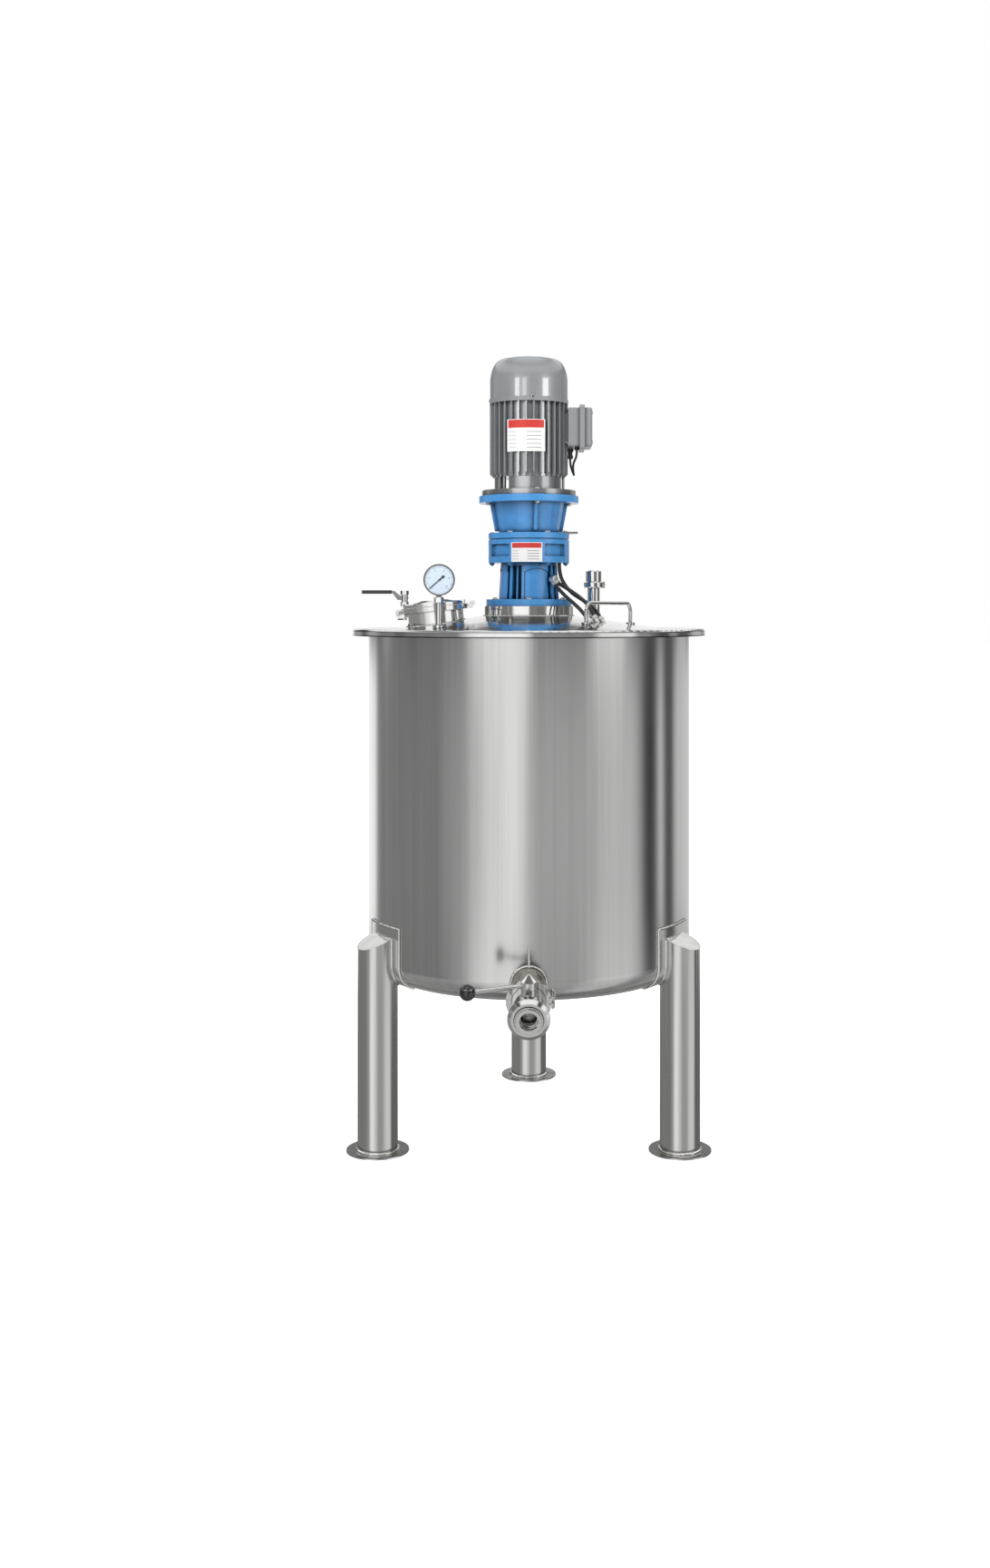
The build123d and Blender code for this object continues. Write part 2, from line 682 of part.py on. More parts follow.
def make_fan_cover():
    """Domed cover with a flared lower edge and a ring grille on top."""
    shoulder_z = COVER_TOP_Z - COVER_CROWN_H
    flare_z = FRAME_TOP_Z + COVER_FLARE_H
    outline = [
        Line((0, FRAME_TOP_Z), (COVER_R + COVER_FLARE, FRAME_TOP_Z)),
        Line((COVER_R + COVER_FLARE, FRAME_TOP_Z), (COVER_R, flare_z)),
        Line((COVER_R, flare_z), (COVER_R, shoulder_z)),
        EllipticalCenterArc(
            (COVER_TOP_R, shoulder_z), COVER_R - COVER_TOP_R, COVER_CROWN_H, start_angle=0, arc_size=90
        ),
        Line((COVER_TOP_R, COVER_TOP_Z), (0, COVER_TOP_Z)),
        Line((0, COVER_TOP_Z), (0, FRAME_TOP_Z)),
    ]
    cover = revolve(Plane.XZ * make_face(outline), Axis.Z)
    low = COVER_TOP_Z - GRILLE_DEPTH
    half = GRILLE_SLOT_W / 2
    bars = around(3, Pos(0, 0, low) * Box(2 * COVER_R, GRILLE_BAR_W, 4 * GRILLE_DEPTH))
    for radius in GRILLE_RINGS:
        cover -= tube(radius + half, radius - half, low, COVER_TOP_Z) - bars
    return cover


BOX_MIDDLE_Z = MOTOR_NECK_TOP_Z + BOX_UP + BOX_H / 2
BOX_BOTTOM_Z = BOX_MIDDLE_Z - BOX_H / 2
BOX_OUT_X = FIN_R + BOX_SPAN
AWAY = (Align.MIN, Align.CENTER, Align.CENTER)  # boxes that start at their -X face


def make_terminal_box():
    neck = Pos(BOX_IN_X, 0, BOX_MIDDLE_Z) * Box(
        BOX_OUT_X - BOX_IN_X, BOX_DEPTH - BOX_NECK_SHRINK, BOX_H - BOX_NECK_SHRINK, align=AWAY
    )
    body_in = FIN_R + SEAT_GAP
    body = Pos(body_in, 0, BOX_MIDDLE_Z) * Box(BOX_OUT_X - body_in, BOX_DEPTH, BOX_H, align=AWAY)
    return fillet(body.edges().filter_by(Axis.X), BOX_ROUND) + neck


def make_box_cover():
    """Cover with a wide rim that meets the box."""
    wide, tall = BOX_DEPTH + 2 * BOX_RIM_OUT, BOX_H + 2 * BOX_RIM_OUT
    rim = Pos(BOX_OUT_X, 0, BOX_MIDDLE_Z) * Box(BOX_RIM_T, wide, tall, align=AWAY)
    rim = fillet(rim.edges().filter_by(Axis.X), BOX_ROUND)
    lid = Pos(BOX_OUT_X + BOX_RIM_T, 0, BOX_MIDDLE_Z) * Box(BOX_COVER_T, BOX_DEPTH, BOX_H, align=AWAY)
    lid = fillet(lid.edges().filter_by(Axis.X), BOX_ROUND)
    return rim + chamfer(lid.faces().sort_by(Axis.X)[-1].edges(), BOX_EDGE)


# Manway: a tilted neck with a flange, a hinged cover, and a vent valve beside it.

NECK_BASE_Z = lid_z(MANWAY_X, MANWAY_Y)
MANWAY = Pos(MANWAY_X, MANWAY_Y, NECK_BASE_Z) * Rot(0, -MANWAY_TILT_DEG, 0)
NECK_TOP = NECK_RISE + NECK_FLANGE_T
HINGE_X = NECK_FLANGE_R + HINGE_OUT
HINGE_Z = NECK_TOP + MOVE_GAP / 2
HINGE = Pos(HINGE_X, 0, HINGE_Z) * Rot(90, 0, 0)


def make_neck():
    """Neck with its flange, the middle knuckle of the hinge, and two lugs for a latch."""
    neck = disc(NECK_R, -NECK_INSIDE, NECK_RISE) + disc(NECK_FLANGE_R, NECK_RISE, NECK_TOP)
    arm_in = HINGE_R
    arm = Pos(NECK_FLANGE_R - arm_in, 0, NECK_RISE) * Box(
        HINGE_OUT + arm_in, HINGE_MID, NECK_FLANGE_T - HINGE_SIDE_GAP, align=(Align.MIN, Align.CENTER, Align.MIN)
    )
    neck += arm + HINGE * Cylinder(HINGE_R, HINGE_MID)
    for side in (-1, 1):
        lug_y = side * (LATCH_LUG_GAP + LATCH_LUG_T) / 2
        lug = Pos(-NECK_FLANGE_R + LATCH_LUG_T, lug_y, NECK_TOP - LATCH_LUG_H) * Box(
            LATCH_LUG_OUT + LATCH_LUG_T, LATCH_LUG_T, LATCH_LUG_H, align=(Align.MAX, Align.CENTER, Align.MIN)
        )
        neck += fillet(lug.edges().filter_by(Axis.Y).group_by(Axis.X)[0], LATCH_LUG_T)
    neck -= disc(NECK_R - NECK_WALL, -NECK_INSIDE - 1, NECK_TOP + 1)
    neck -= HINGE * Cylinder(PIN_R + RUN_GAP, 2 * HINGE_MID)
    seat = disc(NECK_FLANGE_R + HINGE_R / 4, NECK_TOP, NECK_TOP + NECK_RISE)
    return MANWAY * (neck - seat)


def make_cover():
    """Slightly domed cover with the hinge's two outer knuckles."""
    low = NECK_TOP + MOVE_GAP
    cover = disc(NECK_FLANGE_R, low, low + COVER_T)
    cover = chamfer(cover.edges().group_by(Axis.Z)[-1], COVER_EDGE)
    cover += Pos(0, 0, low + COVER_T + COVER_DOME / 2) * Cone(COVER_DOME_R, COVER_DOME_TOP_R, COVER_DOME)
    ear_y = HINGE_MID / 2 + HINGE_SIDE_GAP + HINGE_EAR / 2
    arm_in = 3 * HINGE_R
    for side in (-1, 1):
        ear = Pos(HINGE_X, side * ear_y, HINGE_Z) * Rot(90, 0, 0) * Cylinder(HINGE_R, HINGE_EAR)
        arm = Pos(NECK_FLANGE_R - arm_in, side * ear_y, low) * Box(
            HINGE_OUT + arm_in, HINGE_EAR, COVER_T - 2, align=(Align.MIN, Align.CENTER, Align.MIN)
        )
        cover += ear + arm
    cover -= HINGE * Cylinder(PIN_R + SEAT_GAP, 4 * HINGE_MID)
    return MANWAY * cover


def make_hinge_pin():
    length = HINGE_MID + 2 * (HINGE_SIDE_GAP + HINGE_EAR) + PIN_R
    return MANWAY * HINGE * Cylinder(PIN_R, length)


VENT_X = MANWAY_X + VENT_OUT * cos(radians(VENT_TURN_DEG))
VENT_Y = MANWAY_Y + VENT_OUT * sin(radians(VENT_TURN_DEG))
VENT_GLAND_Y = VENT_Y + VENT_R + VENT_GLAND_L  # rear face of the stem gland
VENT_LEVER_Y = VENT_GLAND_Y + SEAT_GAP + VENT_LEVER_T / 2


def hexagon(across, low, high, x, y, turn_deg=0.0):
    """Upright hexagon bar, with a corner towards +X when not turned."""
    nut = extrude(RegularPolygon(across / 2, 6, major_radius=False), high - low)
    return Pos(x, y, low) * Rot(0, 0, turn_deg) * nut


def make_vent_body():
    """Upright valve body with hexagon ends, on a bent pipe from the manway's neck."""
    mouth = disc(VENT_BORE_R, VENT_TOP_Z - VENT_BORE_DEPTH, VENT_TOP_Z + 1, VENT_X, VENT_Y)
    body = disc(VENT_R, VENT_BODY_Z, VENT_TOP_Z, VENT_X, VENT_Y) - mouth
    flat_turn = VENT_TURN_DEG + 30
    hex_low = VENT_TOP_Z - VENT_HEX_H
    body += hexagon(VENT_HEX, hex_low, VENT_TOP_Z, VENT_X, VENT_Y, flat_turn) - mouth
    hex_low = VENT_BODY_Z + 3
    body += hexagon(VENT_HEX, hex_low, hex_low + VENT_HEX_H, VENT_X, VENT_Y, flat_turn)
    body += disc(VENT_R - 2, VENT_BOTTOM_Z, VENT_BODY_Z, VENT_X, VENT_Y)
    elbow = Pos(VENT_X, VENT_Y, VENT_PIPE_Z)
    body += elbow * Rot(0, -90, 0) * extrude(RegularPolygon(VENT_PIPE_R + 1.5, 6, major_radius=False), 18)
    reach = VENT_OUT - NECK_R + 10
    pipe = Rot(0, 90, 0) * disc(VENT_PIPE_R, 0, reach)
    body += elbow * Rot(0, 0, VENT_TURN_DEG + 180) * pipe
    rearwards = Pos(VENT_X, VENT_GLAND_Y, VENT_PIVOT_Z) * Rot(-90, 0, 0)
    body += rearwards * disc(VENT_GLAND_R, -VENT_R - VENT_GLAND_L, 0)
    body -= rearwards * disc(VENT_STEM_R + RUN_GAP, -VENT_STEM_IN - SEAT_GAP, 1)
    return body - MANWAY * Cylinder(NECK_R + SEAT_GAP, 4 * NECK_RISE)


def make_vent_lever():
    """Flat lever with a bend up to the grip, on a stem that points to the rear."""
    rise = VENT_GRIP_Z - VENT_PIVOT_Z
    bend_in, bend_out = -VENT_BEND_AT, -VENT_BEND_AT - rise
    half, tang = VENT_LEVER_W / 2, VENT_TANG_W / 2
    outline = Polyline(
        (0, -half),
        (bend_in - half * tan(radians(22.5)), -half),
        (bend_out, rise - tang),
        (bend_out - VENT_TANG_L, rise - tang),
        (bend_out - VENT_TANG_L, rise + tang),
        (bend_out + half, rise + tang),
        (bend_in + half, half),
        (0, half),
        close=True,
    )
    plate = extrude(Plane.XZ * make_face(outline), VENT_LEVER_T / 2, both=True)
    plate += Rot(90, 0, 0) * Cylinder(VENT_HUB_R, VENT_LEVER_T)
    rearwards = Pos(0, VENT_LEVER_T / 2, 0) * Rot(-90, 0, 0)
    plate += rearwards * disc(VENT_STEM_R, -VENT_LEVER_T - SEAT_GAP - VENT_STEM_IN, 0)
    plate += rearwards * extrude(RegularPolygon(VENT_SCREW / 2, 6, major_radius=False), VENT_SCREW / 2)
    return Pos(VENT_X, VENT_LEVER_Y, VENT_PIVOT_Z) * plate


def make_vent_grip():
    """Rounded sleeve with a slot for the lever's end."""
    rise = VENT_GRIP_Z - VENT_PIVOT_Z
    start = 5 * SEAT_GAP  # grip begins this far past the bend
    grip = Box(VENT_GRIP_LENGTH, VENT_GRIP_W, VENT_GRIP_H, align=(Align.MAX, Align.CENTER, Align.CENTER))
    grip = fillet(grip.edges().filter_by(Axis.X), VENT_GRIP_H / 3)
    grip = fillet(grip.faces().sort_by(Axis.X)[0].edges(), start)
    slot = Box(VENT_TANG_L + start, VENT_LEVER_T, VENT_TANG_W, align=(Align.MAX, Align.CENTER, Align.CENTER))
    grip -= Pos(start, 0, 0) * slot
    return Pos(VENT_X - VENT_BEND_AT - rise - start, VENT_LEVER_Y, VENT_GRIP_Z) * grip


# Gauge, breather, handle.

GAUGE = Pos(GAUGE_X, GAUGE_Y, GAUGE_CENTRE_Z) * Rot(0, 0, GAUGE_TURN_DEG) * Rot(90, 0, 0)


def make_gauge_stem():
    """Pipe with a base disc, a hexagon under the case and a neck into it."""
    base_z = lid_z(GAUGE_X, GAUGE_Y)
    top = GAUGE_CENTRE_Z - GAUGE_R
    hex_top = top - GAUGE_BEZEL_W
    stem = disc(GAUGE_STEM_R, base_z - GAUGE_BASE_R, hex_top, GAUGE_X, GAUGE_Y)
    stem += disc(GAUGE_BASE_R, base_z - GAUGE_BASE_R, base_z + GAUGE_BASE_H, GAUGE_X, GAUGE_Y)
    stem += hexagon(GAUGE_HEX, hex_top - GAUGE_HEX_H, hex_top, GAUGE_X, GAUGE_Y)
    stem += disc(GAUGE_NECK_R, hex_top - GAUGE_NECK_R, top + GAUGE_NECK_R, GAUGE_X, GAUGE_Y)
    case = GAUGE * Cylinder(GAUGE_R - GAUGE_CASE_STEP + SEAT_GAP, 2 * GAUGE_DEPTH)
    bezel = GAUGE * Pos(0, 0, GAUGE_DEPTH / 2) * Cylinder(GAUGE_R + SEAT_GAP, 2 * GAUGE_BEZEL_T + 2 * SEAT_GAP)
    return stem - case - bezel - below_lid(SEAT_GAP)


def make_gauge_case():
    """Round case with a bezel in front and a recess for the dial."""
    front = GAUGE_DEPTH / 2
    case = disc(GAUGE_R - GAUGE_CASE_STEP, -front, front) + disc(GAUGE_R, front - GAUGE_BEZEL_T, front)
    recess = disc(GAUGE_R - GAUGE_BEZEL_W, front - GAUGE_DIAL_IN, front + GAUGE_BEZEL_T)
    return GAUGE * (case - recess)


def make_gauge_dial():
    seat = GAUGE_DEPTH / 2 - GAUGE_DIAL_IN
    return GAUGE * disc(GAUGE_R - GAUGE_BEZEL_W - SEAT_GAP, seat, seat + GAUGE_DIAL_T)


def make_breather():
    """Pipe with a clamp ring and a wide capped end, and the clamp's lug on one side."""
    base_z = lid_z(BREATHER_X, BREATHER_Y)
    clamp_low = BREATHER_PIPE_TOP_Z
    clamp_high = clamp_low + BREATHER_CLAMP_H
    cap_high = clamp_high + BREATHER_CAP_H
    pipe = turned(
        [
            (0, base_z - BREATHER_R),
            (BREATHER_R, base_z - BREATHER_R),
            (BREATHER_R, clamp_low),
            (BREATHER_CLAMP_R - BREATHER_EDGE, clamp_low),
            (BREATHER_CLAMP_R, clamp_low + BREATHER_EDGE),
            (BREATHER_CLAMP_R, clamp_high - BREATHER_EDGE),
            (BREATHER_CLAMP_R - BREATHER_EDGE, clamp_high),
            (BREATHER_CAP_R, clamp_high),
            (BREATHER_CAP_R, cap_high - BREATHER_EDGE),
            (BREATHER_CAP_R - BREATHER_EDGE, cap_high),
            (0, cap_high),
        ]
    )
    lug = Pos(BREATHER_CLAMP_R, 0, clamp_low + BREATHER_CLAMP_H / 2) * Box(
        BREATHER_LUG, BREATHER_LUG, BREATHER_CLAMP_H
    )
    return Pos(BREATHER_X, BREATHER_Y, 0) * (pipe + lug) - below_lid(SEAT_GAP)


def make_handle():
    (ax, ay), (bx, by) = HANDLE_FOOT_A, HANDLE_FOOT_B
    low = LID_FLANGE_Z
    path = FilletPolyline(
        (ax, ay, low), (ax, ay, HANDLE_TOP_Z), (bx, by, HANDLE_TOP_Z), (bx, by, low), radius=HANDLE_BEND_R
    )
    rod = sweep(Plane((ax, ay, low)) * Circle(HANDLE_ROD_R), path=path)
    for x, y in (HANDLE_FOOT_A, HANDLE_FOOT_B):
        rod += disc(HANDLE_FOOT_R, low, lid_z(x, y) + HANDLE_FOOT_T, x, y)
    return rod - below_lid(SEAT_GAP)


# Hoses and the motor's cable: round tubes along straight runs joined by arcs.


def corner_radii(points):
    radii = []
    for before, here, after in zip(points, points[1:], points[2:]):
        run_in = Vector(here) - Vector(before)
        run_out = Vector(after) - Vector(here)
        turn = run_in.get_angle(run_out)
        radii.append(0.45 * min(run_in.length, run_out.length) / tan(radians(turn / 2)))
    return radii


def make_tube(name, points, radius):
    radii = corner_radii(points)
    print(name, "radii", [round(value) for value in radii])
    path = FilletPolyline(*points, radius=radii)
    start = Plane(origin=points[0], z_dir=Vector(points[1]) - Vector(points[0]))
    solid = sweep(start * Circle(radius), path=path)
    area = pi * radius**2
    print(name, "length", round(path.length, 1), "volume ratio", round(solid.volume / (area * path.length), 4))
    return solid


HOSE_ELBOW_TURN_DEG = -42.0  # from +X
HOSE_ELBOW_Z = 1445.0
HOSE_ELBOW_R = 8.0
HOSE_HEAD_R = 11.5
HOSE_HEAD_T = 14.0
HOSE_HEAD_EDGE = 2.5
HOSE_ELBOW_OUT = 97.0
HOSE_NIPPLE_R = 6.0
HOSE_NIPPLE_L = 14.0
HOSE_NUT = 14.0  # across flats

HOSE_ROUTES = {
    "hose_a": [
        (80, -50, HOUSING_TOP_Z),
        (80, -50, 1461),
        (94, -54, 1431),
        (111, -66, 1411),
        (131, -82, 1397),
        (153, -99, 1383),
        (173, -115, 1366),
        (184, -126, 1347),
    ],
    "hose_b": [
        (70, -72, 1430),
        (81, -86, 1416),
        (97, -106, 1399),
        (115, -129, 1383),
        (132, -151, 1367),
        (146, -169, 1349),
    ],
    "hose_c": [
        (79, -62, 1434),
        (96, -75, 1424),
        (118, -94, 1409),
        (140, -115, 1392),
        (158, -134, 1372),
        (168, -146, 1350),
    ],
}

CABLE_IN = (127, -26)
CABLE_OUT = (111, 28)
GROMMET_BOTTOM_Z = 1787.0
GLAND_BOTTOM_Z = 1769.0
CABLE_ROUTE = [
    (*CABLE_IN, GROMMET_BOTTOM_Z),
    (*CABLE_IN, 1771),
    (118, -25, 1755),
    (117, -20, 1737),
    (120, -4, 1724),
    (120, 13, 1726),
    (115, 25, 1741),
    (*CABLE_OUT, 1755),
    (*CABLE_OUT, GLAND_BOTTOM_Z),
]


def nipple(face, towards, length):
    """Hexagon nipple behind a hose's end face, in line with the run from face to towards."""
    line = Plane(origin=face, z_dir=Vector(face) - Vector(towards))
    nut = extrude(RegularPolygon(HOSE_NUT / 2, 6, major_radius=False), HOSE_NUT / 2)
    return line.location * (disc(HOSE_NIPPLE_R, 0, length) + Pos(0, 0, 2) * nut)


def make_hose_elbow():
    """Round head on a neck from the gear housing, with a nipple for each of two hoses."""
    head_in = HOSE_ELBOW_OUT - HOSE_HEAD_T
    head = turned(
        [
            (0, HOUSING_RIB_TOP_R),
            (HOSE_ELBOW_R, HOUSING_RIB_TOP_R),
            (HOSE_ELBOW_R, head_in),
            (HOSE_HEAD_R, head_in),
            (HOSE_HEAD_R, HOSE_ELBOW_OUT - HOSE_HEAD_EDGE),
            (HOSE_HEAD_R - HOSE_HEAD_EDGE, HOSE_ELBOW_OUT),
            (0, HOSE_ELBOW_OUT),
        ]
    )
    elbow = Pos(0, 0, HOSE_ELBOW_Z) * Rot(0, 0, HOSE_ELBOW_TURN_DEG) * Rot(0, 90, 0) * head
    for name in ("hose_b", "hose_c"):
        elbow += nipple(*HOSE_ROUTES[name][:2], HOSE_NIPPLE_L)
    wall = turned(
        [
            (0, HOUSING_BOTTOM_Z),
            (HOUSING_RIB_R + SEAT_GAP, HOUSING_BOTTOM_Z),
            (HOUSING_RIB_TOP_R + SEAT_GAP, HOUSING_TOP_Z),
            (0, HOUSING_TOP_Z),
        ]
    )
    return elbow - wall


def make_lid_fittings():
    """Nipples through which the hoses enter the lid."""
    under = below_lid(SEAT_GAP)
    ends = [route[:-3:-1] for route in HOSE_ROUTES.values()]
    return Compound([nipple(*end, 2 * HOSE_NIPPLE_L) - under for end in ends])


def make_cable_gland():
    """Grommet and gland under the terminal box."""
    grommet = disc(HOSE_NIPPLE_R, GROMMET_BOTTOM_Z, BOX_BOTTOM_Z, *CABLE_IN)
    gland = disc(HOSE_NIPPLE_R, GLAND_BOTTOM_Z, BOX_BOTTOM_Z, *CABLE_OUT)
    gland += hexagon(15, BOX_BOTTOM_Z - 8, BOX_BOTTOM_Z, *CABLE_OUT)
    gland += hexagon(13.5, GLAND_BOTTOM_Z + 2, GLAND_BOTTOM_Z + 10, *CABLE_OUT)
    return Compound([grommet, gland])


def make_agitator_shaft():
    return disc(SHAFT_R, SHAFT_BOTTOM_Z, SPIGOT_TOP_Z)


def make_impeller():
    low = SHAFT_BOTTOM_Z
    hub = disc(HUB_R, low, low + HUB_H)
    blade = Box(BLADE_REACH - HUB_R + 6, BLADE_T, BLADE_W, align=(Align.MIN, Align.CENTER, Align.CENTER))
    blade = Pos(HUB_R - 6, 0, low + HUB_H / 2) * Rot(BLADE_PITCH_DEG, 0, 0) * blade
    for copy in around(BLADE_COUNT, blade, start_deg=20):
        hub += copy
    return hub - disc(SHAFT_R + SEAT_GAP, low - 40, low + HUB_H + 40)


parts = {}

parts["bottom_head"] = make_bottom_head() - outlet_hole(STUB_R + SEAT_GAP)
parts["shell"] = make_shell() - outlet_hole(STUB_R + SEAT_GAP)

neck_hole = MANWAY * Cylinder(NECK_R + SEAT_GAP, 4 * NECK_RISE)
parts["lid"] = make_lid() - neck_hole

for name, turn in LEG_TURNS.items():
    parts["leg_" + name] = at_leg(turn, make_leg())
    parts["leg_pad_" + name] = at_leg(turn, make_pad())
    parts["foot_" + name] = at_leg(turn, make_foot())

discharge = OUTLET_PLANE.location
parts["outlet_stub"] = discharge * make_outlet_stub()
parts["valve_body"] = discharge * make_valve_body()
parts["valve_front_ring"] = discharge * make_front_ring()
parts["discharge_ball"] = discharge * make_ball()
parts["discharge_stem"] = discharge * make_stem()
parts["discharge_lever"] = discharge * make_lever()
parts["discharge_knob"] = discharge * make_knob()

parts["drive_spigot"] = make_spigot()
parts["gearbox_lower_housing"] = make_lower_housing()
parts["gearbox_ring"] = make_gearbox_ring()
parts["lifting_plate"] = make_lifting_plate()
parts["motor_adapter"] = make_adapter()
parts["motor_end_shield"] = make_end_shield()
parts["motor_frame"] = make_motor_frame()
parts["fan_cover"] = make_fan_cover()
parts["terminal_box"] = make_terminal_box()
parts["terminal_box_cover"] = make_box_cover()

parts["manway_neck"] = make_neck()
parts["manway_cover"] = make_cover()
parts["manway_pin"] = make_hinge_pin()
parts["vent_valve_body"] = make_vent_body()
parts["vent_lever"] = make_vent_lever()
parts["vent_grip"] = make_vent_grip()

parts["gauge_stem"] = make_gauge_stem()
parts["gauge_case"] = make_gauge_case()
parts["gauge_dial"] = make_gauge_dial()
parts["breather"] = make_breather()
parts["lid_handle"] = make_handle()

parts["hose_elbow"] = make_hose_elbow()
parts["lid_hose_fittings"] = make_lid_fittings()
parts["cable_gland"] = make_cable_gland()
for name, route in HOSE_ROUTES.items():
    parts[name] = make_tube(name, route, HOSE_R)
parts["motor_cable"] = make_tube("motor_cable", CABLE_ROUTE, CABLE_R)

parts["agitator_shaft"] = make_agitator_shaft()
parts["agitator_impeller"] = make_impeller()

# Shift along Y to put the origin in the middle of the space covered.
def line_reach(along, up):
    """Distance in front of the tank's axis of a point of the discharge line."""
    return SHELL_R + along * cos(radians(OUTLET_DEG)) + up * sin(radians(OUTLET_DEG))


KNOB_ALONG = BALL_AT + KNOB_AT * sin(radians(LEVER_REST_DEG))
FRONT_REACH = max(line_reach(OUTLET_END, FRONT_LIP_R), line_reach(KNOB_ALONG, LEVER_UP) + KNOB_R)
REAR_REACH = LEG_CIRCLE_R + FOOT_R
AXIS_Y = (FRONT_REACH - REAR_REACH) / 2
print("tank axis at y =", round(AXIS_Y, 3))

for name, part in parts.items():
    placed = Pos(0, AXIS_Y, 0) * part
    export_step(placed, f"parts/{name}.step")
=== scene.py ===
# %% [markdown]
# # A stainless mixing tank with a gear drive on its lid
#
# The steel tank, its legs, valve, drive and fittings arrive as a finished model at their
# real size. This lesson dresses that model: it gives every surface its finish, and adds
# what a workshop adds last, such as weld beads, bolts, hoses, plates and a gauge's needle.
# Nothing that arrives is moved. Lengths are metres, with the floor at z = 0.

import math
import random

import bpy
from mathutils import Matrix, Vector


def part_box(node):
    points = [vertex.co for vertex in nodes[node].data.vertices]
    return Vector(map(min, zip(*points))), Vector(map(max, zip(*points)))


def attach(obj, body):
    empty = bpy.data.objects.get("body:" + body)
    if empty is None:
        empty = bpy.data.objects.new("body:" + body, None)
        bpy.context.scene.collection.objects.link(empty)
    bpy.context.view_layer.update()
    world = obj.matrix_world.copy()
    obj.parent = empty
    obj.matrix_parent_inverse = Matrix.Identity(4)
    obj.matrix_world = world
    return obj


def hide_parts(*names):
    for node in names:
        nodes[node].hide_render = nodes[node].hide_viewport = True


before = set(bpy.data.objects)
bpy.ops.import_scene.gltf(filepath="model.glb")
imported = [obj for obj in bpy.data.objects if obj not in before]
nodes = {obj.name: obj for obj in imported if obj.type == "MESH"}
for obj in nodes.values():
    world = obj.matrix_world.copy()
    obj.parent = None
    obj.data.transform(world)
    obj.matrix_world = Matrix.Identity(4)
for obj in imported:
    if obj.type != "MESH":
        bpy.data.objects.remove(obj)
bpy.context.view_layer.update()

# %% [markdown]
# ## The camera
#
# The photograph was taken with a normal lens from 4.3 m, level with the top of the lid's
# rim, so upright edges stay upright. The picture was then cropped, and the crop is a lens
# shift: the camera looks straight ahead and the frame slides over the image.

# %% Camera
PHOTO_W, PHOTO_H = 1092, 1730
FOCAL_PX = 1780.5
AXIS_PX = 583.3  # column of the tank's axis
HORIZON_PX = 669.6  # row of the camera's own height
CAMERA_BACK = 4.300  # in front of the tank's axis
CAMERA_UP = 1.373
SENSOR_MM = 36.0
LEVEL = (math.radians(90), 0, 0)

shell_low, shell_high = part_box("shell")
TANK_X = (shell_low.x + shell_high.x) / 2
TANK_Y = (shell_low.y + shell_high.y) / 2
MM = 0.001


def at(x, y, z):
    """Point given in millimetres from the tank's axis and the floor."""
    return Vector((TANK_X + x * MM, TANK_Y + y * MM, z * MM))


bpy.ops.object.camera_add(location=(TANK_X, TANK_Y - CAMERA_BACK, CAMERA_UP), rotation=LEVEL)
camera = bpy.context.object
camera.data.sensor_width = SENSOR_MM
camera.data.lens = FOCAL_PX / PHOTO_H * SENSOR_MM
camera.data.shift_x = (PHOTO_W / 2 - AXIS_PX) / PHOTO_H
camera.data.shift_y = (HORIZON_PX - PHOTO_H / 2) / PHOTO_H
bpy.context.scene.camera = camera
print("lens", round(camera.data.lens, 2), "mm")

# %% [markdown]
# ## Helpers for modelling
#
# Blender's operators act on whatever is selected, and the loaded model is selected when it
# arrives. So each new piece starts by clearing the selection. A finished piece has its
# place baked into its mesh, because patterns are read from object coordinates.


# %% Selection and finishing helpers
SMOOTH_DEG = 35
looks = {}  # materials by name


def clear():
    bpy.ops.object.select_all(action="DESELECT")


def only(obj):
    clear()
    obj.select_set(True)
    bpy.context.view_layer.objects.active = obj


def bake_place(obj):
    """Moves an object's place, turn and scale into its mesh."""
    only(obj)
    bpy.ops.object.transform_apply(location=True, rotation=True, scale=True)


def apply_modifiers(obj):
    only(obj)
    for modifier in list(obj.modifiers):
        bpy.ops.object.modifier_apply(modifier=modifier.name)


def placed_object(name, data):
    obj = bpy.data.objects.new(name, data)
    bpy.context.collection.objects.link(obj)
    return obj


def as_mesh(obj):
    only(obj)
    bpy.ops.object.convert(target="MESH")
    return bpy.context.object


def finished(obj, name, look, smooth_deg=SMOOTH_DEG):
    """Names a piece, bakes its place, smooths it and lets it ride on the tank."""
    bake_place(obj)
    bpy.ops.object.shade_smooth_by_angle(angle=math.radians(smooth_deg))
    obj.name = name
    obj.data.name = name
    obj.data.materials.clear()
    obj.data.materials.append(looks[look])
    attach(obj, "tank")
    return obj


def joined(objects):
    clear()
    for obj in objects:
        obj.select_set(True)
    bpy.context.view_layer.objects.active = objects[0]
    if len(objects) > 1:
        bpy.ops.object.join()
    return objects[0]


def copies(prototype, places):
    """One mesh object with a copy of the prototype at each place, each its own mesh."""
    made = []
    for place in places:
        copy = placed_object(prototype.name, prototype.data.copy())
        copy.matrix_world = place
        bake_place(copy)
        made.append(copy)
    bpy.data.objects.remove(prototype)
    return joined(made)


def upright(spot, direction=(0, 0, 1)):
    """Place at spot with local z along a direction."""
    turn = Vector(direction).to_track_quat("Z", "Y").to_matrix().to_4x4()
    return Matrix.Translation(spot) @ turn


print("pieces are smoothed below", SMOOTH_DEG, "degrees")

# %% [markdown]
# ## Hoses and the motor's cable
#
# Three black hoses run from the gear housing to the lid, and a short cable loops under the
# terminal box. Each starts as a NURBS spline through a few chosen points. The spline's order
# is set after the points, because before them it would fall back to straight runs. Its bare
# line is read first, since a cord is measured along it, and then a round section is given
# and the curve becomes a mesh.

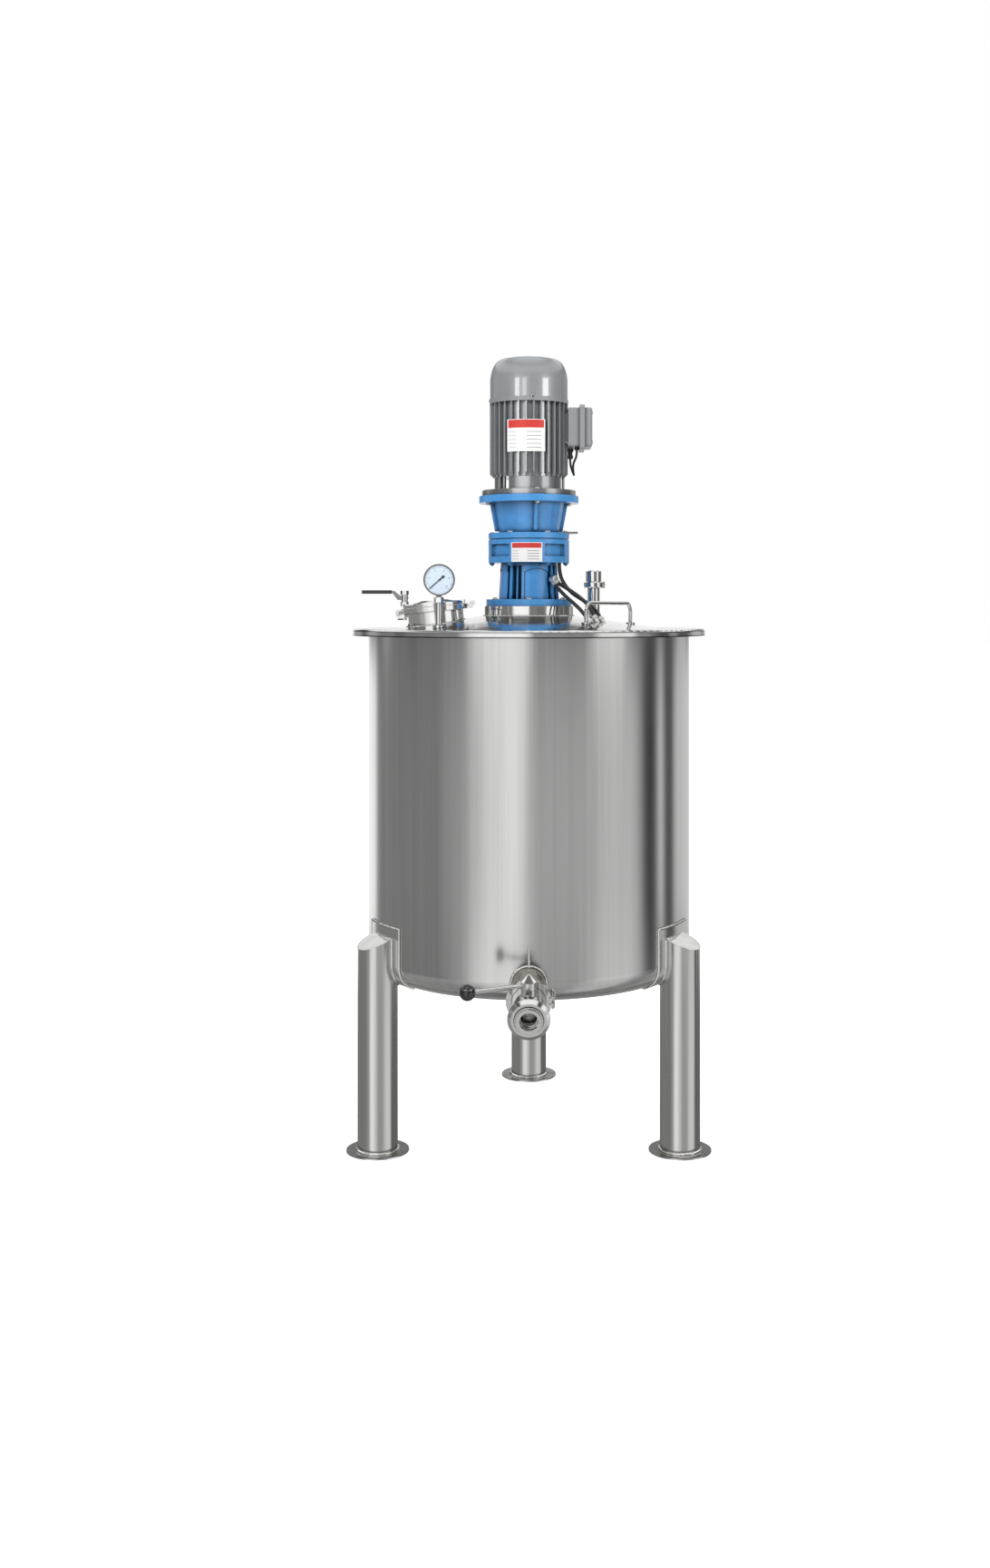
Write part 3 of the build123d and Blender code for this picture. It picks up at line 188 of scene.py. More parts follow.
# %% Cords
HOSE_R = 5.0
CABLE_R = 3.0
CORD_ORDER = 3
CORD_STEPS = 12
CORD_ROUND = 6
CORD_SMOOTH_DEG = 50

# route of each cord, in millimetres from the tank's axis and the floor
CORD_POINTS = {
    "hose_a": [
        (80, -50, 1489), (80, -50, 1461), (94, -54, 1431), (111, -66, 1411),
        (131, -82, 1397), (153, -99, 1383), (173, -115, 1366), (184, -126, 1347),
    ],
    "hose_b": [
        (70, -72, 1430), (81, -86, 1416), (97, -106, 1399),
        (115, -129, 1383), (132, -151, 1367), (146, -169, 1349),
    ],
    "hose_c": [
        (79, -62, 1434), (96, -75, 1424), (118, -94, 1409),
        (140, -115, 1392), (158, -134, 1372), (168, -146, 1350),
    ],
    "motor_cable": [
        (127, -26, 1787), (127, -26, 1771), (118, -25, 1755),
        (117, -20, 1737), (120, -4, 1724), (120, 13, 1726),
        (115, 25, 1741), (111, 28, 1755), (111, 28, 1769),
    ],
}


def round_section(curve, radius, steps):
    curve.bevel_depth = radius * MM
    curve.bevel_resolution = steps
    curve.use_fill_caps = True


def cord_tube(name, points, radius):
    """Round mesh tube along a smooth spline, and the points of the spline's own line."""
    curve = bpy.data.curves.new(name, "CURVE")
    curve.dimensions = "3D"
    spline = curve.splines.new("NURBS")
    spline.points.add(len(points) - 1)
    for spline_point, point in zip(spline.points, points):
        spline_point.co = (*at(*point), 1)
    spline.order_u = CORD_ORDER
    spline.use_endpoint_u = True
    curve.resolution_u = CORD_STEPS
    cord = placed_object(name + "_smooth", curve)
    bare = bpy.data.meshes.new_from_object(cord)
    line = [vertex.co.copy() for vertex in bare.vertices]
    bpy.data.meshes.remove(bare)
    round_section(curve, radius, CORD_ROUND)
    cord = as_mesh(cord)
    bpy.ops.object.shade_smooth_by_angle(angle=math.radians(CORD_SMOOTH_DEG))
    return cord, line


cords = {}
for cord_name, cord_points in CORD_POINTS.items():
    cord_radius = CABLE_R if cord_name == "motor_cable" else HOSE_R
    cords[cord_name], cord_line = cord_tube(cord_name, cord_points, cord_radius)
    run = sum((after - before).length for before, after in zip(cord_line, cord_line[1:]))
    print(cord_name, "points", len(cord_line), "length", round(run, 4))
    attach(cords[cord_name], "tank")
    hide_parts(cord_name)

# %% [markdown]
# ## The studio
#
# Polished steel shows what stands around it more than it shows itself, so the room is the
# first finish. Here it is a world of upright panels: a window beside the camera, dim walls,
# and dark screens on the right, which draw the dark stripes on the shell. The broad shell
# needs soft panels. The lid's fittings above it need crisp ones with stronger darks, and
# the legs below it a darker back. So there are three rings of panels, each soft-edged steps
# on a colour ramp read by the direction's turn about the vertical. One more ramp, read by
# the direction's height, says how much of each ring is seen, and its alpha adds a floor,
# beams and lamps, which give every rounded rim its dark and bright lines.

# %% Panels of the room
# start and end of each panel in degrees from the camera's side towards +X, and its level
SOFT_PANELS = [
    (-180, -141, 1.15), (-134, -66, 0.28), (-56, -45, 0.42), (-30, -22, 0.92),
    (-14, -5, 1.12), (-0.5, 46, 0.55), (53, 80, 0.68), (90, 100, 0.03),
    (103.5, 108, 0.80), (112, 121, 0.07), (127, 164, 0.72), (172, 180, 1.15),
]
CRISP_PANELS = [
    (-180, -166, 0.95), (-152, -130, 0.12), (-124, -116, 0.45), (-110, -96, 0.22),
    (-93, -88, 0.10), (-84, -45, 0.20), (-37, -1, 1.15), (3, 20, 0.22),
    (22, 41, 0.18), (47, 68, 1.10), (74, 90, 0.16), (93, 126, 0.12),
    (133, 146, 0.50), (150, 158, 0.25), (168, 180, 0.95),
]
LOW_PANELS = [
    (-180, -140, 0.20), (-130, -62, 0.25), (-52, -46, 0.40), (-34, -20, 1.10),
    (-8, -2, 0.75), (8, 34, 0.42), (52, 78, 0.85), (92, 180, 0.17),
]
RINGS = (SOFT_PANELS, CRISP_PANELS, LOW_PANELS)
# height of a direction, its shares of the soft, crisp and low ring, and a level of its own
HEIGHTS = [
    (-1.00, 0, 0, 0.20, 0.12),
    (-0.90, 0, 0, 0.50, 0.18),
    (-0.42, 0, 0, 0.60, 0.24),
    (-0.34, 0, 0, 1, 0.00),
    (-0.235, 0, 0, 1, 0.00),
    (-0.19, 1, 0, 0, 0.00),
    (-0.04, 1, 0, 0, 0.00),
    (-0.01, 0, 1, 0, 0.00),
    (0.24, 0, 1, 0, 0.00),
    (0.28, 0, 0, 0, 0.08),
    (0.37, 0, 0, 0, 0.08),
    (0.42, 0, 0, 0, 1.15),
    (0.68, 0, 0, 0, 1.15),
    (0.74, 0, 0, 0, 0.18),
    (0.85, 0, 0, 0, 0.18),
    (0.92, 0, 0, 0, 1.20),
]
BACKGROUND_LEVEL = 1.0
print("panels", [len(ring) for ring in RINGS], "heights", len(HEIGHTS))

# %% [markdown]
# Nodes that work out values are needed for the room and for every material, so each kind
# has a small function. Its inputs may be sockets or plain numbers.


# %% Value nodes
def feed(tree, socket, value):
    """Feeds a socket with another socket or with a plain value."""
    if isinstance(value, (int, float, tuple)):
        socket.default_value = value
    else:
        tree.links.new(value, socket)


def new_node(tree, kind, *values, **settings):
    """New node with its settings, and with its first inputs fed."""
    node = tree.nodes.new("ShaderNode" + kind)
    for setting, value in settings.items():
        setattr(node, setting, value)
    for socket, value in zip(node.inputs, values):
        feed(tree, socket, value)
    return node


def math_node(tree, operation, *values, clamp=False):
    return new_node(tree, "Math", *values, operation=operation, use_clamp=clamp).outputs[0]


def remap(tree, value, from_low, from_high, to_low=0.0, to_high=1.0):
    """Smooth remap of a value, held at both ends."""
    values = (value, from_low, from_high, to_low, to_high)
    return new_node(tree, "MapRange", *values, interpolation_type="SMOOTHSTEP").outputs[0]


def mix_colour(tree, amount, first, second, blend="MIX"):
    node = new_node(tree, "Mix", amount, data_type="RGBA", blend_type=blend)
    feed(tree, node.inputs[6], first)
    feed(tree, node.inputs[7], second)
    return node.outputs[2]


def ramp_node(tree, value, stops):
    """Colour and alpha of a ramp with (position, colour with alpha) stops."""
    ramp = new_node(tree, "ValToRGB", value)
    elements = ramp.color_ramp.elements
    while len(elements) < len(stops):
        elements.new(1.0)
    for element, (position, colour) in zip(elements, stops):
        element.position = position
        element.color = colour
    return ramp.outputs


print("value nodes: math, remap, mix and ramp")

# %% [markdown]
# The ramps run from 0 to 1, so a turn and a height are first brought into that range. The
# camera itself sees plain white, and only reflections and light come from the panels.


# %% World
def panel_stops(panels):
    stops = []
    for start, end, level in panels:
        shade = (level, level, level, 1)
        stops += [(start / 360 + 0.5, shade), (end / 360 + 0.5, shade)]
    return stops


def build_world():
    world = bpy.data.worlds.new("studio")
    bpy.context.scene.world = world
    world.use_nodes = True
    tree = world.node_tree
    tree.nodes.clear()
    direction = new_node(tree, "TexCoord").outputs["Generated"]
    x, y, z = new_node(tree, "SeparateXYZ", direction).outputs
    turn = math_node(tree, "ARCTAN2", x, math_node(tree, "MULTIPLY", y, -1.0))
    share = math_node(tree, "MULTIPLY_ADD", turn, 1 / math.tau, 0.5)
    rows = [((height + 1) / 2, shares) for height, *shares in HEIGHTS]
    shares, level = ramp_node(tree, math_node(tree, "MULTIPLY_ADD", z, 0.5, 0.5), rows)
    parts = new_node(tree, "SeparateColor", shares).outputs
    for panels, part in zip(RINGS, parts):
        ring, _ = ramp_node(tree, share, panel_stops(panels))
        level = math_node(tree, "MULTIPLY_ADD", ring, part, level)
    lit = new_node(tree, "Background", level).outputs[0]
    white = new_node(tree, "Background", (1, 1, 1, 1), BACKGROUND_LEVEL).outputs[0]
    seen = new_node(tree, "LightPath").outputs["Is Camera Ray"]
    mixed = new_node(tree, "MixShader", seen, lit, white).outputs[0]
    new_node(tree, "OutputWorld", mixed)
    return len(tree.nodes)


print("world nodes", build_world())
bpy.context.scene.view_settings.view_transform = "Standard"

# %% [markdown]
# ## Floor and lamps
#
# The floor is a wide pale disc. It catches the faint shadows of the feet, and a little
# light of its own lets it fade into the white background. It doesn't show in the steel,
# where it would wash the panels out. Large soft lamps light the painted drive. Three
# upright strips, all higher than the lid, draw the bright stripes on the motor's paint and
# the glints on the black knob, and light linking keeps them off all other pieces.

# %% Floor and lamps
FLOOR_R = 60.0
FLOOR_SIDES = 96
FLOOR_SHADE = 0.80
FLOOR_GLOW = 0.55
AIM_Z = 1100.0
STRIP_BACK = 2.0
STRIP_MIDDLE = 2000.0
STRIP_HEIGHT = 0.56
GLOSSY_PIECES = ("motor_frame", "fan_cover", "discharge_knob")
# place and side of each soft lamp in metres, and its power in watts
LAMPS = {
    "key_lamp": ((-2.2, -3.0, 3.2), 1.8, 120),
    "fill_lamp": ((2.8, -2.4, 2.2), 1.8, 64),
    "top_lamp": ((0.0, 0.6, 4.4), 2.5, 80),
}
# turn and width of each strip in degrees, seen from the tank's axis, and its glow
STRIPS = {"strip_left": (-34, 13, 11), "strip_middle": (-12.5, 12, 6), "strip_right": (49, 18, 12)}


def build_floor():
    clear()
    bpy.ops.mesh.primitive_circle_add(vertices=FLOOR_SIDES, radius=FLOOR_R, fill_type="NGON")
    floor = bpy.context.object
    floor.name = "floor"
    material = bpy.data.materials.new("floor_pale")
    material.use_nodes = True
    shader = material.node_tree.nodes["Principled BSDF"]
    shader.inputs["Base Color"].default_value = (FLOOR_SHADE, FLOOR_SHADE, FLOOR_SHADE, 1)
    shader.inputs["Roughness"].default_value = 1.0
    shader.inputs["Emission Color"].default_value = (1, 1, 1, 1)
    shader.inputs["Emission Strength"].default_value = FLOOR_GLOW
    floor.data.materials.append(material)
    floor.visible_glossy = False


def area_lamp(name, spot, aim):
    """Area lamp at a spot that shines along a direction."""
    bpy.ops.object.light_add(type="AREA", location=spot)
    light = bpy.context.object
    light.name = name
    light.rotation_euler = aim.to_track_quat("-Z", "Y").to_euler()
    return light


def soft_lamp(name, spot, size, power):
    """Square soft lamp that points at the middle of the tank."""
    light = area_lamp(name, spot, at(0, 0, AIM_Z) - Vector(spot))
    light.data.size = size
    light.data.energy = power
    light.visible_glossy = False


def strip_lamp(name, turn_deg, width_deg, glow, receivers):
    """Upright lamp beside the motor that draws a bright stripe on gloss."""
    turn = math.radians(turn_deg)
    aim = Vector((-math.sin(turn), math.cos(turn), 0))
    light = area_lamp(name, at(0, 0, STRIP_MIDDLE) - aim * STRIP_BACK, aim)
    light.data.shape = "RECTANGLE"
    light.data.size = 2 * STRIP_BACK * math.tan(math.radians(width_deg / 2))
    light.data.size_y = STRIP_HEIGHT
    light.data.energy = glow * math.pi * light.data.size * light.data.size_y
    light.visible_camera = False
    light.visible_diffuse = False
    light.light_linking.receiver_collection = receivers


glossy_pieces = bpy.data.collections.new("glossy_pieces")
for glossy_name in GLOSSY_PIECES:
    glossy_pieces.objects.link(nodes[glossy_name])
build_floor()
for lamp_name, lamp_row in LAMPS.items():
    soft_lamp(lamp_name, *lamp_row)
for strip_name, strip_row in STRIPS.items():
    strip_lamp(strip_name, *strip_row, glossy_pieces)
print("lamps", len(LAMPS), "soft,", len(STRIPS), "strips")

# %% [markdown]
# ## Shared effects
#
# Two effects return on many surfaces. Sheet steel has fine drawn lines that all run one
# way, with broader pale streaks among them: noise stretched along the line, at two scales.
# Paint and castings have a fine skin and faint stains: even noise at two scales. Each is a
# node group, which only puts out values that vary over the surface. The shader itself
# stays in every material.

# %% Node groups
CLOUD_SCALE, CLOUD_SHARE = 9.0, 0.7
LINE_TONE = 0.10
STREAK_SCALE, STREAK_TONE = 0.22, 0.26
WAVE_STRETCH = (1.0, 1.0, 0.12)
PATCH_FROM, PATCH_TO = 0.42, 0.72
NUMBER, COLOUR, VECTOR = "NodeSocketFloat", "NodeSocketColor", "NodeSocketVector"


def new_group(name, inputs, outputs):
    group = bpy.data.node_groups.new(name, "ShaderNodeTree")
    for label, kind, value in inputs:
        socket = group.interface.new_socket(label, in_out="INPUT", socket_type=kind)
        if value is not None:
            socket.default_value = value
    for label, kind in outputs:
        group.interface.new_socket(label, in_out="OUTPUT", socket_type=kind)
    return group, group.nodes.new("NodeGroupInput").outputs, group.nodes.new("NodeGroupOutput").inputs


def noise(tree, vector, scale, detail=2.0, rough=0.5):
    node = new_node(tree, "TexNoise")
    inputs = {"Vector": vector, "Scale": scale, "Detail": detail, "Roughness": rough}
    for label, value in inputs.items():
        feed(tree, node.inputs[label], value)
    return node.outputs[0]


def stretched(tree, vector, amount):
    return new_node(tree, "VectorMath", vector, amount, operation="MULTIPLY").outputs[0]


def centred(tree, value):
    """Value moved down by a half, so that it swings about zero."""
    return math_node(tree, "SUBTRACT", value, 0.5)


def build_drawn_lines():
    """Lines drawn along the surface, with slow waves of the sheet behind them."""
    inputs = [
        ("Vector", VECTOR, None),
        ("Stretch", VECTOR, (300.0, 300.0, 4.0)),
        ("Roughness", NUMBER, 0.2),
        ("Spread", NUMBER, 0.06),
        ("Wave Scale", NUMBER, 6.0),
    ]
    outputs = [(label, NUMBER) for label in ("Roughness", "Tone", "Height", "Waves")]
    group, source, sink = new_group("drawn_lines", inputs, outputs)
    along = stretched(group, source["Vector"], source["Stretch"])
    lines = noise(group, along, 1.0, detail=3.0, rough=0.6)
    cloud = noise(group, source["Vector"], CLOUD_SCALE, detail=3.0, rough=0.55)
    streaks = noise(group, along, STREAK_SCALE, detail=2.0, rough=0.6)
    drawn = centred(group, lines)
    stained = math_node(group, "MULTIPLY_ADD", centred(group, cloud), CLOUD_SHARE, drawn)
    rough = math_node(group, "MULTIPLY_ADD", stained, source["Spread"], source["Roughness"], clamp=True)
    fine_tone = math_node(group, "MULTIPLY_ADD", drawn, LINE_TONE, 1.0)
    tone = math_node(group, "MULTIPLY_ADD", centred(group, streaks), STREAK_TONE, fine_tone)
    slow = stretched(group, source["Vector"], WAVE_STRETCH)
    waves = noise(group, slow, source["Wave Scale"], detail=1.5)
    for value, label in ((rough, "Roughness"), (tone, "Tone"), (lines, "Height"), (waves, "Waves")):
        group.links.new(value, sink[label])
    return group


def build_skin():
    """Fine skin of paint or cast metal, with faint stains and dust."""
    inputs = [
        ("Vector", VECTOR, None),
        ("Fine Scale", NUMBER, 700.0),
        ("Stain Scale", NUMBER, 14.0),
        ("Roughness", NUMBER, 0.4),
        ("Spread", NUMBER, 0.12),
        ("Stain", NUMBER, 0.10),
        ("Color", COLOUR, (0.5, 0.5, 0.5, 1.0)),
        ("Dark Color", COLOUR, (0.3, 0.3, 0.3, 1.0)),
    ]
    outputs = [("Color", COLOUR), ("Roughness", NUMBER), ("Height", NUMBER)]
    group, source, sink = new_group("fine_skin", inputs, outputs)
    fine = noise(group, source["Vector"], source["Fine Scale"])
    stain = noise(group, source["Vector"], source["Stain Scale"], detail=5.0, rough=0.62)
    patch = remap(group, stain, PATCH_FROM, PATCH_TO)
    amount = math_node(group, "MULTIPLY", patch, source["Stain"])
    colour = mix_colour(group, amount, source["Color"], source["Dark Color"])
    spread = centred(group, stain)
    rough = math_node(group, "MULTIPLY_ADD", spread, source["Spread"], source["Roughness"], clamp=True)
    for value, label in ((colour, "Color"), (rough, "Roughness"), (fine, "Height")):
        group.links.new(value, sink[label])
    return group


drawn_lines = build_drawn_lines()
fine_skin = build_skin()
print("groups", [group.name for group in bpy.data.node_groups])

# %% [markdown]
# ## What every material needs
#
# A material places a shared group, adds bumps and may darken its corners as painted
# shade. A metal's sharp edges catch the light on a small round, which a Bevel node
# gives without new faces.

# %% Material helpers
SHADE_SAMPLES, EDGE_SAMPLES = 8, 6
# occlusion values between which the painted corner shade fades out
HOLLOW_DARK, HOLLOW_CLEAR = 0.32, 0.95
CORNER_SHADE = 0.30
# soft edge of the painted shade rings, in millimetres
RING_BLUR = 0.5


def new_material(name):
    material = bpy.data.materials.new(name)
    material.use_nodes = True
    tree = material.node_tree
    return material, tree, tree.nodes["Principled BSDF"]


def object_coordinates(tree):
    return new_node(tree, "TexCoord").outputs["Object"]


def add_group(tree, group, **values):
    """Places a shared group in a material with its own values."""
    node = new_node(tree, "Group", object_coordinates(tree), node_tree=group)
    for label, value in values.items():
        node.inputs[label.replace("_", " ").title()].default_value = value
    return node.outputs


def add_bump(tree, shader, heights, edge=0):
    """Chain of bumps, from (height socket, distance in metres, strength) rows.

    An edge in millimetres rounds the light on sharp edges, as a real corner does.
    """
    normal = None
    if edge:
        normal = new_node(tree, "Bevel", edge * MM, samples=EDGE_SAMPLES).outputs[0]
    for height, distance, strength in heights:
        bump = new_node(tree, "Bump", strength, distance)
        tree.links.new(height, bump.inputs["Height"])
        if normal is not None:
            tree.links.new(normal, bump.inputs["Normal"])
        normal = bump.outputs[0]
    tree.links.new(normal, shader.inputs["Normal"])


def painted_corner_shade(tree, reach):
    """Painted shade: value falling from one towards zero in corners closer than reach, in mm."""
    node = new_node(tree, "AmbientOcclusion", samples=SHADE_SAMPLES)
    node.inputs["Distance"].default_value = reach * MM
    return remap(tree, node.outputs["AO"], HOLLOW_DARK, HOLLOW_CLEAR)


def painted_shade_rings(tree, rings):
    """Painted shade: value that falls from one to a shade between two heights, for rows in mm."""
    height = new_node(tree, "SeparateXYZ", object_coordinates(tree)).outputs[2]
    tone = 1.0
    for low, high, shade in rings:
        rise = remap(tree, height, (low - RING_BLUR) * MM, low * MM)
        fall = remap(tree, height, high * MM, (high + RING_BLUR) * MM, 1, 0)
        inside = math_node(tree, "MULTIPLY", rise, fall)
        ring = math_node(tree, "MULTIPLY_ADD", inside, shade - 1, 1.0)
        tone = math_node(tree, "MULTIPLY", ring, tone)
    return tone


print("corners darken to", CORNER_SHADE)

# %% [markdown]
# ## Steels
#
# The shell, legs and pads are satin sheet: bright metal, softly blurred, with upright
# lines and streaks. The lid is brighter, with two rings of painted shade round its rim, at
# the lower edge and at the fold. The manway and the drive's foot are
# polished, so they mirror the room. The outlet's pipe is browned by its welding heat, and
# its steel is painted darker as a painted reflection of the dark floor below it.
# Turned fittings, zinc plated bolts, welds and the cast motor flange sit between them.

# %% Steel
LINE_STRENGTH, WAVE_STRENGTH = 0.5, 1.0
UPRIGHT_LINES = (260.0, 260.0, 3.0)
TURNED_LINES = (20.0, 20.0, 900.0)
EVEN_LINES = (60.0, 60.0, 60.0)


def steel(name, shade, finish, waves, line_depth, reach=0, edge=0, lines=EVEN_LINES, rings=()):
    """Bare metal with drawn lines, a gentle wave of the sheet and painted shade in corners and rings."""
    material, tree, shader = new_material(name)
    shader.inputs["Metallic"].default_value = 1.0
    roughness, spread = finish
    wave_scale, wave_depth = waves
    drawn = add_group(
        tree, drawn_lines, stretch=lines, roughness=roughness, spread=spread, wave_scale=wave_scale
    )
    tone = drawn["Tone"]
    # painted shade: the tone falls towards CORNER_SHADE in corners
    if reach:
        corners = remap(tree, painted_corner_shade(tree, reach), 0, 1, CORNER_SHADE, 1)
        tone = math_node(tree, "MULTIPLY", tone, corners)
    if rings:
        tone = math_node(tree, "MULTIPLY", tone, painted_shade_rings(tree, rings))
    tree.links.new(mix_colour(tree, 1.0, (*shade, 1), tone, "MULTIPLY"), shader.inputs["Base Color"])
    tree.links.new(drawn["Roughness"], shader.inputs["Roughness"])
    heights = [
        (drawn["Height"], line_depth, LINE_STRENGTH),
        (drawn["Waves"], wave_depth, WAVE_STRENGTH),
    ]
    add_bump(tree, shader, heights, edge)
    return material


print("steel is drawn upright, turned or even")

# %% [markdown]
# One row of a table makes one steel, so the finishes can be compared at a glance. A
# rougher and more uneven row gives a blurred metal, and a smooth one a mirror.

# %% Metal finishes
rim_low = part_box("lid")[0].z / MM
# painted shade: dark rings at the lid rim's lower edge and at its fold, with their shade
RIM_PAINTED_SHADE = ((rim_low, rim_low + 2.8, 0.20), (rim_low + 12.5, rim_low + 14.0, 0.42))
# shade, roughness and its spread, scale and depth of the waves, depth of the lines,
# reach of the painted shade in corners and round of the edges
STEELS = {
    "satin_steel": ((0.62, 0.62, 0.615), (0.175, 0.06), (7.0, 0.0011), 0.00002, 16),
    "lid_steel": ((0.74, 0.74, 0.735), (0.09, 0.05), (6.0, 0.0016), 0.00002, 12),
    "polished_steel": ((0.80, 0.80, 0.79), (0.06, 0.03), (14.0, 0.0003), 0.00001, 8, 1.0),
    "turned_steel": ((0.72, 0.72, 0.71), (0.09, 0.04), (20.0, 0.0002), 0.00001, 6, 0.35),
    "leg_steel": ((0.64, 0.64, 0.62), (0.15, 0.06), (16.0, 0.0005), 0.00002),
    "weld_metal": ((0.92, 0.91, 0.87), (0.16, 0.15), (90.0, 0.0006), 0.00005, 1.5),
    # outlet's pipe: brown heat tint, painted darker as a painted reflection of the dark floor
    "heat_tint_and_painted_reflection": ((0.40, 0.38, 0.34), (0.26, 0.20), (70.0, 0.0016), 0.0001, 25),
    "zinc_plate": ((0.76, 0.76, 0.74), (0.20, 0.12), (60.0, 0.0003), 0.00003, 4),
    "cast_aluminium": ((0.60, 0.61, 0.62), (0.26, 0.12), (40.0, 0.0012), 0.00012, 14, 1.6),
    "dull_zinc": ((0.95, 0.95, 0.92), (0.42, 0.15), (60.0, 0.0003), 0.00004, 3, 1.0),
    # dark steel of the lever and lifting plate, and painted shade on the ball inside the valve
    "dark_steel_and_painted_shade": ((0.30, 0.30, 0.30), (0.30, 0.15), (60.0, 0.0003), 0.00004),
}
DRAWN = {"satin_steel": UPRIGHT_LINES, "leg_steel": UPRIGHT_LINES, "turned_steel": TURNED_LINES}
for look, row in STEELS.items():
    rings = RIM_PAINTED_SHADE if look == "lid_steel" else ()
    looks[look] = steel(look, *row, lines=DRAWN.get(look, EVEN_LINES), rings=rings)
print("steels", len(looks))

# %% [markdown]
# ## Paint, plastic and rubber
#
# The gear unit is sprayed in glossy blue over rough castings, so its paint has an orange
# peel, and its corners get painted shade. The motor is the same idea in grey. Plastics, prints
# and rubber differ only in their values, so one function makes them all.

# %% Painted and moulded materials
COAT_ROUGHNESS = 0.07
SKIN_STRENGTH = 0.6
FINE_SKIN = (900, 0.00001)  # scale and depth


def coated(name, color, dark, finish, stain, skin=FINE_SKIN, coat=0.0, reach=0, edge=0):
    """Paint, plastic or rubber with a fine skin, faint stains and painted shade in its corners."""
    material, tree, shader = new_material(name)
    surface = add_group(
        tree,
        fine_skin,
        fine_scale=skin[0],
        roughness=finish[0],
        spread=finish[1],
        stain=stain,
        color=(*color, 1),
        dark_color=(*dark, 1),
    )
    paint = surface["Color"]
    # painted shade: corners turn towards the stain colour times CORNER_SHADE
    if reach:
        corner = (*[CORNER_SHADE * value for value in dark], 1)
        paint = mix_colour(tree, painted_corner_shade(tree, reach), corner, paint)
    tree.links.new(paint, shader.inputs["Base Color"])
    tree.links.new(surface["Roughness"], shader.inputs["Roughness"])
    shader.inputs["Coat Weight"].default_value = coat
    shader.inputs["Coat Roughness"].default_value = COAT_ROUGHNESS
    add_bump(tree, shader, [(surface["Height"], skin[1], SKIN_STRENGTH)], edge)
    return material


# colour, dark colour of its stains and painted corner shade, roughness and its spread, stains,
# scale and depth of the skin, clear coat, reach of the painted corner shade and round of the edges
COATS = {
    "blue_paint": ((0.042, 0.205, 0.46), (0.016, 0.08, 0.21), (0.34, 0.2), 0.35, (420, 2.5e-4), 0.5, 16, 1.6),
    "grey_paint": ((0.165, 0.176, 0.182), (0.09, 0.09, 0.09), (0.36, 0.12), 0.2, (600, 8e-5), 0.8, 12, 0.8),
    "box_paint": ((0.185, 0.195, 0.2), (0.1, 0.1, 0.1), (0.42, 0.16), 0.15, (600, 1.2e-4), 0.2, 10, 1.2),
    "black_plastic": ((0.012, 0.012, 0.013), (0.03, 0.03, 0.03), (0.22, 0.1), 0.25, (900, 5e-5), 0.3),
    "knob_black": ((0.008, 0.008, 0.009), (0.02, 0.02, 0.02), (0.07, 0.02), 0.1, FINE_SKIN, 0.6),
    "hose_rubber": ((0.014, 0.014, 0.015), (0.035, 0.035, 0.035), (0.33, 0.16), 0.4, (900, 0.00008)),
    "red_print": ((0.42, 0.028, 0.022), (0.34, 0.025, 0.02), (0.4, 0.1), 0.2),
    "white_print": ((0.58, 0.58, 0.575), (0.48, 0.48, 0.47), (0.4, 0.1), 0.2),
    "grey_print": ((0.16, 0.165, 0.18), (0.1, 0.1, 0.1), (0.5, 0.1), 0.2),
    "needle_black": ((0.012, 0.014, 0.018), (0.03, 0.03, 0.03), (0.4, 0.1), 0.1),
    "dial_face": ((0.46, 0.535, 0.615), (0.41, 0.475, 0.545), (0.5, 0.1), 0.1, (900, 0.00002)),
}
for look, row in COATS.items():
    looks[look] = coated(look, *row)
print("materials", len(looks))

# %% [markdown]
# ## Finishes of the loaded pieces
#
# A loaded piece keeps its shape and place. Only the material in its slot changes.

# %% Dress the model
LEG_PARTS = ("leg", "leg_pad", "foot")
FINISHES = {
    "satin_steel": ["shell", "bottom_head"],
    "lid_steel": ["lid"],
    "polished_steel": ["manway_cover", "manway_neck", "drive_spigot", "breather", "gauge_stem"],
    # the outlet's pipe gets heat tint and a painted dark reflection
    "heat_tint_and_painted_reflection": ["outlet_stub"],
    "leg_steel": [f"{part}_{side}" for part in LEG_PARTS for side in ("left", "right", "rear")],
    "turned_steel": [
        *("valve_body", "valve_front_ring", "discharge_stem", "discharge_lever", "manway_pin"),
        *("vent_valve_body", "gauge_case", "agitator_shaft", "agitator_impeller", "lid_handle"),
    ],
    "blue_paint": ["gearbox_lower_housing", "gearbox_ring", "motor_adapter"],
    "cast_aluminium": ["motor_end_shield"],
    "grey_paint": ["motor_frame", "fan_cover"],
    "box_paint": ["terminal_box", "terminal_box_cover"],
    "black_plastic": ["vent_grip", "cable_gland"],
    "knob_black": ["discharge_knob"],
    "hose_rubber": list(cords),
    "dial_face": ["gauge_dial"],
    # the ball's dark steel is painted shade for the valve's unlit inside
    "dark_steel_and_painted_shade": ["vent_lever", "discharge_ball", "lifting_plate"],
    "dull_zinc": ["hose_elbow", "lid_hose_fittings"],
}
dressed = set()
for look, names in FINISHES.items():
    for name in names:
        nodes[name].data.materials.clear()
        nodes[name].data.materials.append(looks[look])
        dressed.add(name)
for cord_piece in cords.values():
    cord_piece.data.materials.append(looks["hose_rubber"])
print("dressed", len(dressed), "of", len(nodes), "left", sorted(set(nodes) - dressed))

# %% [markdown]
# ## Where things sit
#
# The small pieces below are placed by what they are fixed to. The heights come from the
# boxes of the loaded pieces, and `polar` gives a point by its distance from the tank's axis
# and its turn from the camera's side. `cast` finds the surface of a loaded piece along a ray.


